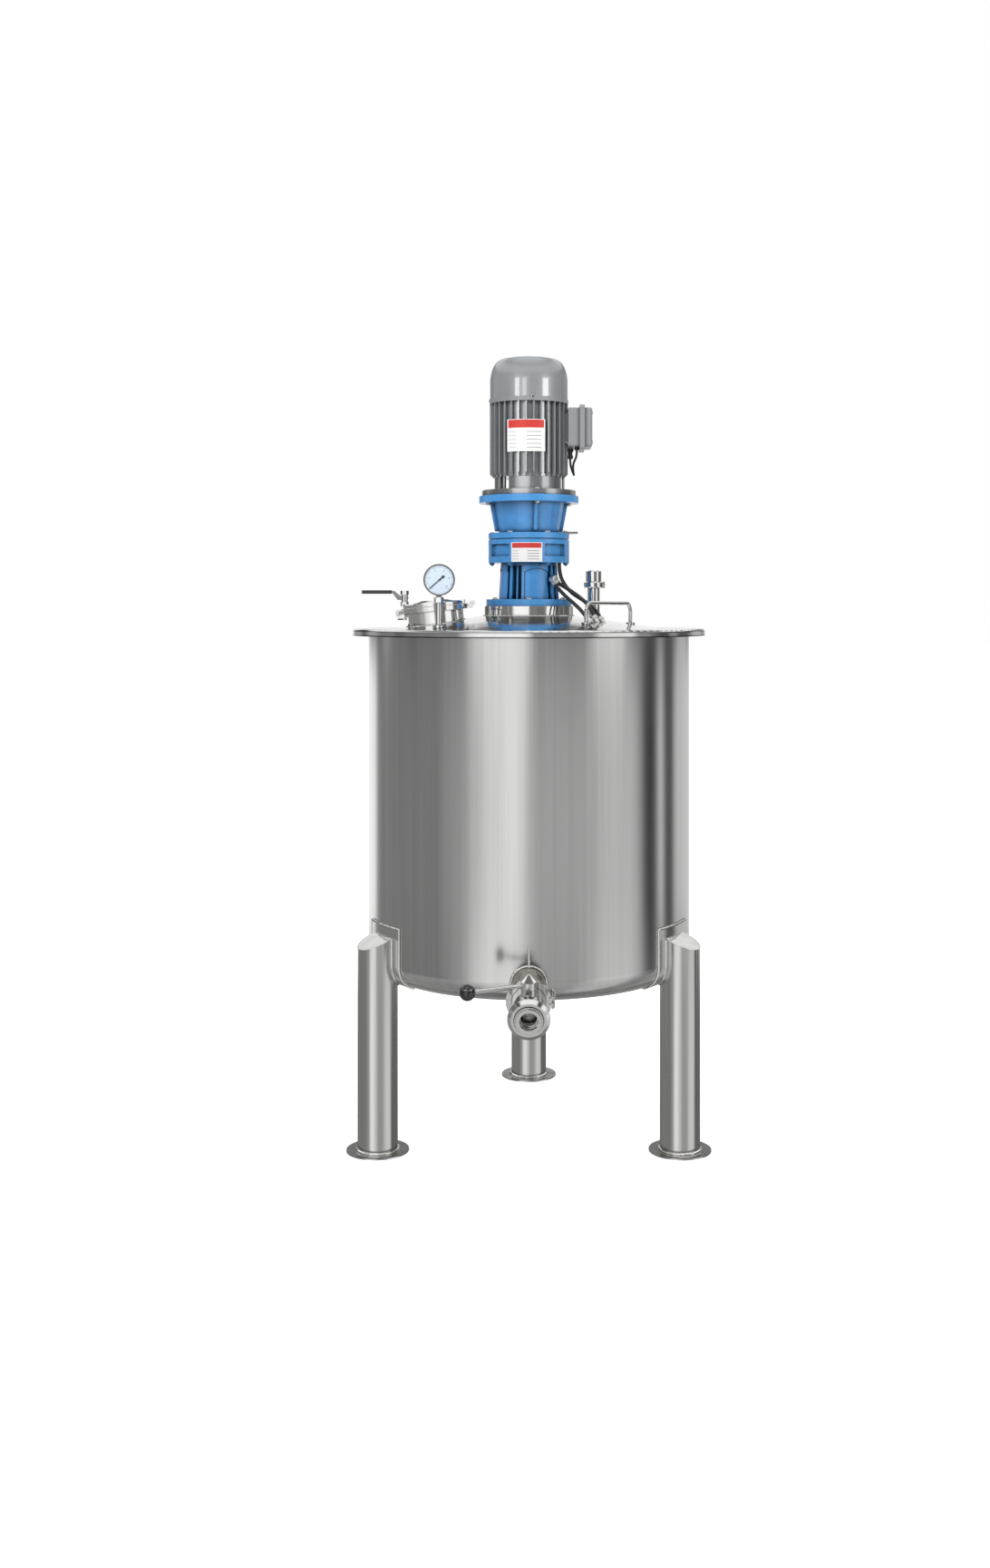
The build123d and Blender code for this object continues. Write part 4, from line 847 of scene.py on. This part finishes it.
# %% Placing helpers
def high_of(node):
    """Top of a loaded piece in millimetres."""
    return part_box(node)[1].z / MM


def low_of(node):
    """Underside of a loaded piece in millimetres."""
    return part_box(node)[0].z / MM


def polar(radius, turn_deg, z):
    """Point by distance from the tank's axis, turn from the camera's side, and height."""
    turn = math.radians(turn_deg)
    return at(radius * math.sin(turn), -radius * math.cos(turn), z)


def outwards(turn_deg):
    """Level direction away from the tank's axis."""
    turn = math.radians(turn_deg)
    return Vector((math.sin(turn), -math.cos(turn), 0))


def cast(names, origin, direction):
    """Nearest point of the named loaded pieces along a ray."""
    spots = []
    for name in names:
        place = nodes[name].matrix_world
        back = place.inverted()
        found, spot, _, _ = nodes[name].ray_cast(back @ origin, back.to_3x3() @ direction)
        if found:
            spots.append(place @ spot)
    return min(spots, key=lambda spot: (spot - origin).length) if spots else None


print("lid from", round(low_of("lid")), "to", round(high_of("lid")), "mm")

# %% [markdown]
# ## Bolts, nuts and screws
#
# A nut is a six-sided cylinder cut by a blunt cone, which leaves the round chamfer that
# real nuts have, on a washer and with a stud's end through it. A screw's round head has a
# crossed slot, cut by two small blocks. One prototype is modelled for each size and copied
# to its places.

# %% Solid shapes
DRUM_SIDES, STUD_SIDES, CONE_SIDES = 40, 24, 48
CHAMFER_R = 0.475  # of the width across the flats
NUT_ROUND, WASHER_ROUND, STUD_ROUND = 0.25, 0.3, 0.6
HEAD_DOME, SLOT_REACH, SLOT_HALF, SLOT_DEEP = 0.55, 0.62, 0.12, 0.45  # of the screw's head


def softened(obj, width, segments=2, angle_deg=30):
    bevel = obj.modifiers.new("soft_edges", "BEVEL")
    bevel.width = width * MM
    bevel.segments = segments
    bevel.limit_method = "ANGLE"
    bevel.angle_limit = math.radians(angle_deg)
    apply_modifiers(obj)
    return obj


def drum(radius, low, high, vertices=DRUM_SIDES):
    """Upright cylinder about the origin between two heights, in millimetres."""
    clear()
    middle = (0, 0, (high + low) / 2 * MM)
    bpy.ops.mesh.primitive_cylinder_add(
        vertices=vertices, radius=radius * MM, depth=(high - low) * MM, location=middle
    )
    return bpy.context.object


def block(x, y, z):
    """Box from three (low, high) pairs, in millimetres."""
    clear()
    middle = [sum(pair) / 2 * MM for pair in (x, y, z)]
    bpy.ops.mesh.primitive_cube_add(size=1, location=middle)
    obj = bpy.context.object
    obj.scale = [(pair[1] - pair[0]) * MM for pair in (x, y, z)]
    bake_place(obj)
    return obj


def boolean(obj, tool, operation):
    """Cuts or trims an object by another, which is then removed."""
    step = obj.modifiers.new("cut", "BOOLEAN")
    step.operation = operation
    step.object = tool
    step.solver = "EXACT"
    apply_modifiers(obj)
    bpy.data.objects.remove(tool)
    return obj


def hex_nut(across, height, washer_r, washer_t, stud_r=0.0, stud_h=0.0):
    """Hexagon on a washer, with a stud's end if it has one. Local z leaves the seat."""
    top = washer_t + height
    nut = drum(across / math.sqrt(3), washer_t, top, vertices=6)
    flat_r = CHAMFER_R * across
    clear()
    bpy.ops.mesh.primitive_cone_add(
        vertices=CONE_SIDES,
        radius1=(flat_r + height * math.sqrt(3)) * MM,
        radius2=flat_r * MM,
        depth=height * MM,
        location=(0, 0, (washer_t + height / 2) * MM),
    )
    nut = softened(boolean(nut, bpy.context.object, "INTERSECT"), NUT_ROUND, segments=1, angle_deg=20)
    parts = [nut, softened(drum(washer_r, 0, washer_t), WASHER_ROUND)]
    if stud_h:
        parts.append(softened(drum(stud_r, washer_t, top + stud_h, STUD_SIDES), STUD_ROUND))
    return joined(parts)


def pan_screw(head_r, head_h):
    """Round screw head with a crossed slot."""
    head = softened(drum(head_r, 0, head_h), HEAD_DOME * head_h, segments=4)
    reach, half, deep = SLOT_REACH * head_r, SLOT_HALF * head_r, SLOT_DEEP * head_h
    for x, y in ((reach, half), (half, reach)):
        slot = block((-x, x), (-y, y), (head_h - deep, head_h + deep))
        head = boolean(head, slot, "DIFFERENCE")
    return head


def fastened(name, prototype, places, look="zinc_plate"):
    finished(copies(prototype, places), name, look)
    print(name, len(places))


# %% [markdown]
# The drive is a stack of flanges. Its sizes across the flats, heights, washers and studs
# are those of the real fasteners, and each row of them stands on the flange it holds.

# %% Bolts of the drive
UP, DOWN = (0, 0, 1), (0, 0, -1)
RING_BOLT_R = 98.0
RING_BOLT_TURN = 30
PLATE_TURN = 60  # of the head that holds the lifting plate
FLANGE_BOLT_R = 103.0
MOTOR_BOLT_R = 110.5
MOTOR_BOLT_TURN = 11.5
DRIVE_FLANGE_T = 18.0
MOTOR_FLANGE_T = 15.0
# width across the flats, height, radius and thickness of the washer and size of the stud
RING_HEAD = (13, 7, 8.5, 1.6)
RING_NUT = (13, 8, 8.5, 1.6, 4, 3)
LOWER_NUT = (13, 6.5, 8.2, 1.6, 4, 2)
MOTOR_NUT = (11, 8, 6.5, 1.4, 3, 2)
MOTOR_HEAD = (11, 6, 7.5, 1.4)

sixth_turns = [60 * index for index in range(6)]
quarter_turns = [90 * index for index in range(4)]


def bolt_circle(radius, turns, z, direction):
    """Places on a circle about the tank's axis."""
    return [upright(polar(radius, turn, z), direction) for turn in turns]


heads = []
for turn in sixth_turns:
    seat = "lifting_plate" if turn == PLATE_TURN else "gearbox_ring"
    heads += bolt_circle(RING_BOLT_R, [RING_BOLT_TURN + turn], high_of(seat), UP)
fastened("ring_bolt_heads", hex_nut(*RING_HEAD), heads)

turns = [RING_BOLT_TURN + turn for turn in sixth_turns]
places = bolt_circle(RING_BOLT_R, turns, low_of("gearbox_ring"), DOWN)
fastened("ring_bolt_nuts", hex_nut(*RING_NUT), places, "blue_paint")

seat = high_of("drive_spigot") + DRIVE_FLANGE_T
fastened("lower_flange_nuts", hex_nut(*LOWER_NUT), bolt_circle(FLANGE_BOLT_R, sixth_turns, seat, UP))

motor_seat = low_of("motor_end_shield")
turns = [MOTOR_BOLT_TURN + turn for turn in quarter_turns]
places = bolt_circle(MOTOR_BOLT_R, turns, motor_seat - DRIVE_FLANGE_T, DOWN)
fastened("motor_flange_nuts", hex_nut(*MOTOR_NUT), places)
places = bolt_circle(MOTOR_BOLT_R, turns, motor_seat + MOTOR_FLANGE_T, UP)
fastened("motor_flange_bolts", hex_nut(*MOTOR_HEAD), places)

# %% [markdown]
# Round screws hold the fan's cover, and four more the lid of the terminal box.

# %% Screws of the motor
COVER_SCREW_R = 104.0
COVER_SCREW_Z = 1921.0
COVER_SCREW_TURN = 5.6
COVER_SCREW, BOX_SCREW = (5.5, 4.5), (4.5, 3.0)  # radius and height of the head
BOX_SCREW_OUT = 38.0  # from the middle of the terminal box, both ways

places = []
for turn in quarter_turns:
    turn += COVER_SCREW_TURN
    places.append(upright(polar(COVER_SCREW_R, turn, COVER_SCREW_Z), outwards(turn)))
fastened("fan_cover_screws", pan_screw(*COVER_SCREW), places)

box_low, box_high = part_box("terminal_box_cover")
box_face = (box_low + box_high) / 2
box_face.x = box_high.x
places = []
for side in (-1, 1):
    for rise in (-1, 1):
        corner = Vector((0, side, rise)) * BOX_SCREW_OUT * MM
        places.append(upright(box_face + corner, (1, 0, 0)))
fastened("box_cover_screws", pan_screw(*BOX_SCREW), places)

# %% [markdown]
# ## Weld beads
#
# A weld is a row of overlapping drops. Each bead is a poly curve whose points alternate
# between a full and a slimmer radius, with a little chance in both, and it becomes a mesh.
# The tighter the points, the finer the ripple. Most paths are found on the model: a circle
# is cast down onto the lid or the shell, and each leg's path is worked out from its pipe
# and the vessel's profile.

# %% Weld helpers
chance = random.Random(7)
BEAD_WANDER = 0.07  # of the radius
BEAD_SLIM = 0.68
BEAD_SWELL = (0.90, 1.10)
TAPER_END = 0.85
BEAD_ROUND = 2
CAST_FROM = 0.08
WELD_SMOOTH_DEG = 70


def resampled(points, step, closed):
    """Points at even steps along a path, in metres."""
    path = points + points[:1] if closed else points
    spots, carry = [path[0].copy()], 0.0
    for start, end in zip(path, path[1:]):
        run = end - start
        reach = step - carry
        while reach <= run.length:
            spots.append(start + run * (reach / run.length))
            reach += step
        carry = run.length - (reach - step)
    return spots


def weld_bead(points, radius, ripple, closed=False, taper=False):
    """Mesh bead of drops along a path. Radius and ripple are in millimetres."""
    spots = resampled(points, ripple / 2 * MM, closed)
    curve = bpy.data.curves.new("bead", "CURVE")
    curve.dimensions = "3D"
    spline = curve.splines.new("POLY")
    spline.points.add(len(spots) - 1)
    for index, (spline_point, spot) in enumerate(zip(spline.points, spots)):
        wander = Vector([chance.uniform(-BEAD_WANDER, BEAD_WANDER) * radius * MM for _ in range(3)])
        spline_point.co = (*(spot + wander), 1)
        swell = (1.0 if index % 2 else BEAD_SLIM) * chance.uniform(*BEAD_SWELL)
        if taper:
            swell *= 1.0 - TAPER_END * index / len(spots)
        spline_point.radius = swell
    spline.use_cyclic_u = closed
    round_section(curve, radius, BEAD_ROUND)
    return as_mesh(placed_object("bead", curve))


def ring_on(names, centre, axis, radius, count=72):
    """Circle about an axis, cast against the axis onto the named pieces."""
    axis = Vector(axis).normalized()
    side = axis.orthogonal().normalized()
    other = axis.cross(side)
    spots = []
    for index in range(count):
        turn = math.tau * index / count
        out = side * math.cos(turn) + other * math.sin(turn)
        spot = cast(names, centre + out * radius * MM + axis * CAST_FROM, -axis)
        if spot is not None:
            spots.append(spot)
    return spots


def welded(name, beads):
    finished(joined(beads), name, "weld_metal", WELD_SMOOTH_DEG)
    print(name, "beads", len(beads))


# %% [markdown]
# The discharge pipe carries the heaviest weld, with a short tail of seam that runs up the
# shell. On the lid, the manway's neck, the drive's foot and the breather have finer rings.

# %% Welds of the discharge and the lid
OUTLET_FALL = math.radians(11.0)
OUTLET_Z = 466.0
OUTLET_WELD_R = 42.5
TAIL_HEIGHTS, TAIL_OUT = (506, 520, 535, 563), 0.5
SHELL_R = 425.0
VESSEL = ["shell", "bottom_head"]
MANWAY_X, MANWAY_Y = -244.0, -60.0
MANWAY_TILT = math.radians(-5.0)
BREATHER_X, BREATHER_Y = 175.0, 60.0
# radius of a weld on the lid and a height near it
NECK_WELD, SPIGOT_WELD, BREATHER_WELD = (76.5, 1330), (120.3, 1352), (17.6, 1342)
# radius of a bead and length of its ripple
OUTLET_BEAD, TAIL_BEAD = (4.2, 5.6), (4.8, 4.6)
NECK_BEAD, SPIGOT_BEAD, BREATHER_BEAD = (2.0, 3.0), (1.6, 2.6), (1.8, 2.6)

line_out = Vector((0, -math.cos(OUTLET_FALL), -math.sin(OUTLET_FALL)))
line_up = Vector((0, -math.sin(OUTLET_FALL), math.cos(OUTLET_FALL)))
line_start = at(0, -SHELL_R, OUTLET_Z)

boss = ring_on(VESSEL, line_start, line_out, OUTLET_WELD_R)
tail = [polar(SHELL_R + TAIL_OUT, 0, z) for z in TAIL_HEIGHTS]
beads = [weld_bead(boss, *OUTLET_BEAD, closed=True), weld_bead(tail, *TAIL_BEAD, taper=True)]
welded("outlet_weld", beads)

neck_axis = Matrix.Rotation(MANWAY_TILT, 3, "Y") @ Vector(UP)
neck_ring = ring_on(["lid"], at(MANWAY_X, MANWAY_Y, NECK_WELD[1]), neck_axis, NECK_WELD[0])
spigot_ring = ring_on(["lid"], at(0, 0, SPIGOT_WELD[1]), UP, SPIGOT_WELD[0])
breather_foot = at(BREATHER_X, BREATHER_Y, BREATHER_WELD[1])
breather_ring = ring_on(["lid"], breather_foot, UP, BREATHER_WELD[0], count=40)
lid_rings = ((neck_ring, NECK_BEAD), (spigot_ring, SPIGOT_BEAD), (breather_ring, BREATHER_BEAD))
welded("lid_welds", [weld_bead(ring, *bead, closed=True) for ring, bead in lid_rings])

# %% [markdown]
# Each leg has four welds: round its pad, between pipe and pad, along the slanted cap and
# round the foot. The pad follows the wall and then the rounded knuckle of the vessel's
# bottom, so `profile` gives a distance and a height for every length below the wall's end.

# %% Shape of the legs
TANGENT_Z = 473.0
KNUCKLE_R = 58.0
KNUCKLE_END = math.radians(78.0)
PAD_TOP_Z = 568.0
PAD_HALF_DEG = 10.7
PAD_OUT = 3.3
PAD_FACE_R = SHELL_R + PAD_OUT
LEG_CIRCLE_R = 441.0
LEG_R = 50.8
LEG_CAP_Z = 541.0
LEG_CAP_SLOPE = math.tan(math.radians(24.0))
FOOT_T = 4.0


def profile(drop, out):
    """Distance from the axis and height, at a length below the wall's lower end."""
    if drop <= 0:
        return SHELL_R + out, TANGENT_Z - drop
    turn = min(drop / KNUCKLE_R, KNUCKLE_END)
    radius = KNUCKLE_R + out
    return SHELL_R - KNUCKLE_R + radius * math.cos(turn), TANGENT_Z - radius * math.sin(turn)


def leg_point(leg_turn, pipe_turn, z, radius=LEG_R):
    """Point on a leg's pipe. The pipe's turn is 0 where it is nearest the tank's axis."""
    across = radius * math.sin(pipe_turn)
    out = LEG_CIRCLE_R - radius * math.cos(pipe_turn)
    return polar(math.hypot(out, across), leg_turn + math.degrees(math.atan2(across, out)), z)


def pipe_turn_at(distance):
    """Pipe's turn where it is at a distance from the tank's axis."""
    cosine = (LEG_CIRCLE_R**2 + LEG_R**2 - distance**2) / (2 * LEG_CIRCLE_R * LEG_R)
    return math.acos(max(-1, min(1, cosine)))


PIPE_AT_PAD = pipe_turn_at(PAD_FACE_R)
print("pipe meets its pad at", round(math.degrees(PIPE_AT_PAD), 1), "degrees")

# %% [markdown]
# Each path is a list of points at even steps, and the bead function does the rest. The
# three legs differ only in their turn about the tank's axis, so one loop welds them all.

# %% Welds of the legs
PAD_BEAD, JOINT_BEAD, CAP_BEAD, FOOT_BEAD = (3.4, 4.6), (3.8, 5.0), (1.2, 2.4), (4.4, 6.0)
LEG_TURNS = {"left": -60.0, "right": 60.0, "rear": 180.0}
JOINT_OUT = 0.5
CAP_EDGE_DROP, CAP_BACK_RISE = 0.4, 0.3
FOOT_WELD_OUT, FOOT_WELD_UP = 1.0, 1.8
# steps along each path
PAD_ROWS, PAD_COLUMNS, JOINT_SIDE, JOINT_UNDER = 40, 24, 12, 16
CAP_STEPS, CAP_BACK_STEPS, FOOT_STEPS = 48, 16, 48


def pad_outline(leg_turn):
    """Closed path round a pad's edge."""
    height = PAD_TOP_Z - TANGENT_Z
    length = KNUCKLE_R * KNUCKLE_END + height
    drops = [length * share / PAD_ROWS - height for share in range(PAD_ROWS + 1)]
    turns = [-PAD_HALF_DEG + 2 * PAD_HALF_DEG * share / PAD_COLUMNS for share in range(PAD_COLUMNS + 1)]
    edge = [(drop, -PAD_HALF_DEG) for drop in drops]
    edge += [(drops[-1], turn) for turn in turns]
    edge += [(drop, PAD_HALF_DEG) for drop in reversed(drops)]
    edge += [(drops[0], turn) for turn in reversed(turns)]
    path = []
    for drop, turn in edge:
        radius, z = profile(drop, PAD_OUT / 2)
        path.append(polar(radius, leg_turn + turn, z))
    return path


def joint_path(leg_turn):
    """Open path where a leg's pipe meets its pad: down one side, under, and up the other."""
    drop = (LEG_CAP_Z - TANGENT_Z) / JOINT_SIDE
    side = [(PIPE_AT_PAD, LEG_CAP_Z - drop * share) for share in range(JOINT_SIDE)]
    under = []
    for share in range(2 * JOINT_UNDER + 1):
        pipe_turn = PIPE_AT_PAD * (1 - share / JOINT_UNDER)
        out = LEG_CIRCLE_R - LEG_R * math.cos(pipe_turn)
        distance = math.hypot(out, LEG_R * math.sin(pipe_turn))
        lean = (distance - SHELL_R + KNUCKLE_R) / (KNUCKLE_R + PAD_OUT)
        z = TANGENT_Z - (KNUCKLE_R + PAD_OUT) * math.sqrt(max(0, 1 - lean**2))
        under.append((pipe_turn, z))
    rise = [(-turn, z) for turn, z in reversed(side)]
    return [leg_point(leg_turn, turn, z, LEG_R + JOINT_OUT) for turn, z in side + under + rise]


def cap_path(leg_turn):
    """Closed path along the edge of a leg's slanted cap."""
    path = []
    for share in range(CAP_STEPS + 1):
        pipe_turn = PIPE_AT_PAD + (math.tau - 2 * PIPE_AT_PAD) * share / CAP_STEPS
        out = LEG_CIRCLE_R - LEG_R * math.cos(pipe_turn)
        z = LEG_CAP_Z - (out - PAD_FACE_R) * LEG_CAP_SLOPE - CAP_EDGE_DROP
        path.append(leg_point(leg_turn, pipe_turn, z))
    for share in range(1, CAP_BACK_STEPS):
        pipe_turn = -PIPE_AT_PAD + 2 * PIPE_AT_PAD * share / CAP_BACK_STEPS
        turn = math.degrees(math.asin(LEG_R * math.sin(pipe_turn) / PAD_FACE_R))
        path.append(polar(PAD_FACE_R, leg_turn + turn, LEG_CAP_Z + CAP_BACK_RISE))
    return path


def foot_path(leg_turn):
    z, radius = FOOT_T + FOOT_WELD_UP, LEG_R + FOOT_WELD_OUT
    turns = [math.tau * share / FOOT_STEPS for share in range(FOOT_STEPS)]
    return [leg_point(leg_turn, turn, z, radius) for turn in turns]


for side_name, leg_turn in LEG_TURNS.items():
    beads = [
        weld_bead(pad_outline(leg_turn), *PAD_BEAD, closed=True),
        weld_bead(joint_path(leg_turn), *JOINT_BEAD),
        weld_bead(cap_path(leg_turn), *CAP_BEAD, closed=True),
        weld_bead(foot_path(leg_turn), *FOOT_BEAD, closed=True),
    ]
    welded(f"leg_welds_{side_name}", beads)

# %% [markdown]
# ## The gauge's face
#
# On the dial are a ring of marks, a few figures and a needle on a pin. They are drawn in
# the gauge's own plane, which is turned a little to the right, and then put in place.

# %% Gauge marks and figures
GAUGE_TURN = math.radians(7.0)
DIAL_FACE = 12.5  # in front of the middle of the gauge's case
DIAL_START, DIAL_SWEEP = 225, 270
MARKS, FIGURES, FIGURE_STEP = 50, 5, 2
LONG_EVERY = 5
PRINT_T = 0.15
LONG_MARK, SHORT_MARK = (4.0, 0.7, 29.5), (2.2, 0.35, 31.3)  # length, width and place
FIGURE_R = 24.5
FIGURE_SIZE = 6.5
FIGURE_T = 0.07

gauge_low, gauge_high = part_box("gauge_case")
gauge_turn = Matrix.Rotation(GAUGE_TURN, 4, "Z") @ Matrix.Rotation(math.radians(90), 4, "X")
gauge_place = Matrix.Translation((gauge_low + gauge_high) / 2) @ gauge_turn


def on_gauge(objects, name, look):
    """Joins pieces drawn about the origin and puts them on the gauge."""
    piece = joined(objects)
    piece.matrix_world = gauge_place @ piece.matrix_world
    finished(piece, name, look)
    print(name, len(objects))


def bar(length, width, out, turn_deg, high, thick=PRINT_T):
    """Flat bar that starts at a distance from the origin, along a direction from +x."""
    obj = block((out, out + length), (-width / 2, width / 2), (high, high + thick))
    obj.matrix_world = Matrix.Rotation(math.radians(turn_deg), 4, "Z") @ obj.matrix_world
    return obj


marks = []
for index in range(MARKS + 1):
    turn = DIAL_START - DIAL_SWEEP * index / MARKS
    mark = SHORT_MARK if index % LONG_EVERY else LONG_MARK
    marks.append(bar(*mark, turn, DIAL_FACE))
on_gauge(marks, "gauge_marks", "grey_print")

figures = []
for index in range(FIGURES + 1):
    turn = math.radians(DIAL_START - DIAL_SWEEP * index / FIGURES)
    clear()
    spot = (FIGURE_R * MM * math.cos(turn), FIGURE_R * MM * math.sin(turn), DIAL_FACE * MM)
    bpy.ops.object.text_add(location=spot)
    figure = bpy.context.object
    figure.data.body = str(index * FIGURE_STEP)
    figure.data.size = FIGURE_SIZE * MM
    figure.data.align_x = "CENTER"
    figure.data.align_y = "CENTER"
    figure.data.extrude = FIGURE_T * MM
    figures.append(as_mesh(figure))
on_gauge(figures, "gauge_figures", "grey_print")

# %% [markdown]
# The needle is a long thin bar with a short thick tail that ends in a disc, and a pin
# holds it.

# %% Gauge needle
NEEDLE_TURN = 221.0
TAIL_TURN = NEEDLE_TURN - 180
NEEDLE_Z = DIAL_FACE + 1.0
NEEDLE_T = 0.6
NEEDLE_SIDES = 32
NEEDLE, TAIL = (34, 2.1), (11, 3.2)  # length and width
TAIL_DISC_R, TAIL_DISC_T, TAIL_DISC_OUT = 3.4, 0.7, 12.0
PIN_R, PIN_T, PIN_ROUND = 2.4, 2.2, 0.5

tail_turn = math.radians(TAIL_TURN)
needle = bar(*NEEDLE, 0, NEEDLE_TURN, NEEDLE_Z, NEEDLE_T)
tail_bar = bar(*TAIL, 0, TAIL_TURN, NEEDLE_Z, NEEDLE_T)
tail_disc = drum(TAIL_DISC_R, NEEDLE_Z, NEEDLE_Z + TAIL_DISC_T, NEEDLE_SIDES)
tail_disc.location += Vector((math.cos(tail_turn), math.sin(tail_turn), 0)) * TAIL_DISC_OUT * MM
pin = softened(drum(PIN_R, DIAL_FACE, DIAL_FACE + PIN_T, NEEDLE_SIDES), PIN_ROUND)
on_gauge([needle, tail_bar, tail_disc, pin], "gauge_needle", "needle_black")

# %% [markdown]
# ## Labels
#
# Two plain labels wrap round the drive: a white plate with a red band on top and thin grey
# rules where text would be. Each layer is a strip of grid bent round the tank's axis.

# %% Labels
STRIP_COLUMNS = 40
PLATE_T, BAND_T, RULE_T = 0.5, 0.25, 0.22
PRINT_OUT = 0.35  # of the prints' backs, from the plate's back
SIDE_MARGIN, TOP_MARGIN = 0.03, 1.5
# start and end of the two rules in a row, as shares of its width, and half their height
RULES = ((0.02, 0.24, 0.5), (0.52, 0.92, 0.8))
# radius, sides in degrees, heights, height of the red band and rows of rules
LABELS = {
    "motor_label": (104.1, -32.5, 24.0, 1778, 1862, 21, 5),
    "gear_label": (107.6, -25.0, 19.0, 1490.5, 1541, 13, 4),
}


def strip(radius, from_deg, to_deg, low, high, thick):
    """Curved strip about the tank's axis."""
    verts, faces = [], []
    for column in range(STRIP_COLUMNS + 1):
        turn = from_deg + (to_deg - from_deg) * column / STRIP_COLUMNS
        for z in (low, high):
            for r in (radius, radius + thick):
                verts.append(polar(r, turn, z))
    for column in range(STRIP_COLUMNS):
        here, there = 4 * column, 4 * (column + 1)
        for a, b in ((0, 1), (1, 3), (3, 2), (2, 0)):
            faces.append((here + a, here + b, there + b, there + a))
    last = 4 * STRIP_COLUMNS
    faces += [(0, 2, 3, 1), (last + 1, last + 3, last + 2, last)]
    mesh = bpy.data.meshes.new("strip")
    mesh.from_pydata(verts, [], faces)
    return placed_object("strip", mesh)


def label(name, radius, left, right, low, high, band, rows):
    """White plate with a red band along the top and rows of grey rules below it."""
    plate = strip(radius, left, right, low, high, PLATE_T)
    finished(plate, name + "_plate", "white_print")
    inner = (right - left) * SIDE_MARGIN
    left, right = left + inner, right - inner
    width = right - left
    top = high - TOP_MARGIN
    red = strip(radius + PRINT_OUT, left, right, top - band, top, BAND_T)
    finished(red, name + "_band", "red_print")
    rules = []
    space = (top - band - low) / (rows + 1)
    for row in range(rows):
        z = top - band - space * (row + 1)
        for start, end, half in RULES:
            sides = (left + start * width, left + end * width)
            rules.append(strip(radius + PRINT_OUT, *sides, z - half, z + half, RULE_T))
    finished(joined(rules), name + "_rules", "grey_print")
    print(name, "rules", len(rules))


for label_name, label_row in LABELS.items():
    label(label_name, *label_row)

# %% [markdown]
# ## Small fittings
#
# The clamp round the valve's rear disc closes with a wing nut. It is drawn upright about
# its bolt and then turned into the valve's own slanted line.

# %% Clamp of the discharge valve
CLAMP_ALONG = 91.0
CLAMP_BOLT_X = 57.0
# across, along and above the line: the lugs and a wing; radius and heights: bolt and boss
LOWER_LUG, UPPER_LUG = ((48, 62), (-7, 7), (-14, -3)), ((48, 62), (-7, 7), (3, 14))
WING = ((3, 13), (-1.6, 1.6), (17, 29))
CLAMP_BOLT, CLAMP_BOSS = (3.2, -19, 27), (5.5, 14, 21)
LUG_ROUND, BOSS_ROUND, WING_ROUND = 1.2, 0.8, 1.5
WING_TURN = 70

def on_line(x, up, along):
    """Point by its place across, above and along the discharge line."""
    return line_start + Vector((x * MM, 0, 0)) + line_up * up * MM + line_out * along * MM


line_turn = Matrix((Vector((1, 0, 0)), line_out, line_up)).transposed().to_4x4()
lug = softened(block(*LOWER_LUG), LUG_ROUND)
upper_lug = softened(block(*UPPER_LUG), LUG_ROUND)
clamp_bolt = drum(*CLAMP_BOLT, STUD_SIDES)
clamp_bolt.location.x += CLAMP_BOLT_X * MM
boss_drum = softened(drum(*CLAMP_BOSS, STUD_SIDES), BOSS_ROUND)
boss_drum.location.x += CLAMP_BOLT_X * MM
wings = []
for turn in (0, 180):
    wing = softened(block(*WING), WING_ROUND, segments=3)
    wing_turn = Matrix.Rotation(math.radians(WING_TURN + turn), 4, "Z")
    wing.matrix_world = Matrix.Translation((CLAMP_BOLT_X * MM, 0, 0)) @ wing_turn
    wings.append(wing)
clamp = joined([lug, upper_lug, clamp_bolt, boss_drum, *wings])
clamp.matrix_world = Matrix.Translation(on_line(0, 0, CLAMP_ALONG)) @ line_turn @ clamp.matrix_world
finished(clamp, "valve_clamp_nut", "turned_steel")
print("wing nut at", [round(value, 3) for value in on_line(CLAMP_BOLT_X, 0, CLAMP_ALONG)])

# %% [markdown]
# The manway's two lugs hold a cross bolt with a nut at each end, and the breather's clamp
# has a nut on its lug.

# %% Nuts of the manway and the breather
LUG_IN, LUG_UP = 8.0, 43.0  # from the left end and the foot of the manway's neck
LUG_SIDE = 11.5
CLAMP_NUT_SPOT = (26.5, -3.5, 1432.5)  # across and along from the breather, and height
LUG_NUT, CLAMP_NUT = (13, 6, 7.5, 1.2, 3.5, 2), (8, 4, 5, 1)

neck_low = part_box("manway_neck")[0]
lug_spot = Vector((neck_low.x + LUG_IN * MM, TANK_Y + MANWAY_Y * MM, neck_low.z + LUG_UP * MM))
ends = [Vector((0, side, 0)) for side in (-1, 1)]
cross = [upright(lug_spot + end * LUG_SIDE * MM, end) for end in ends]
fastened("manway_lug_nuts", hex_nut(*LUG_NUT), cross)

across, along, height = CLAMP_NUT_SPOT
spot = at(BREATHER_X + across, BREATHER_Y + along, height)
fastened("breather_clamp_nut", hex_nut(*CLAMP_NUT), [upright(spot, (0, -1, 0))])
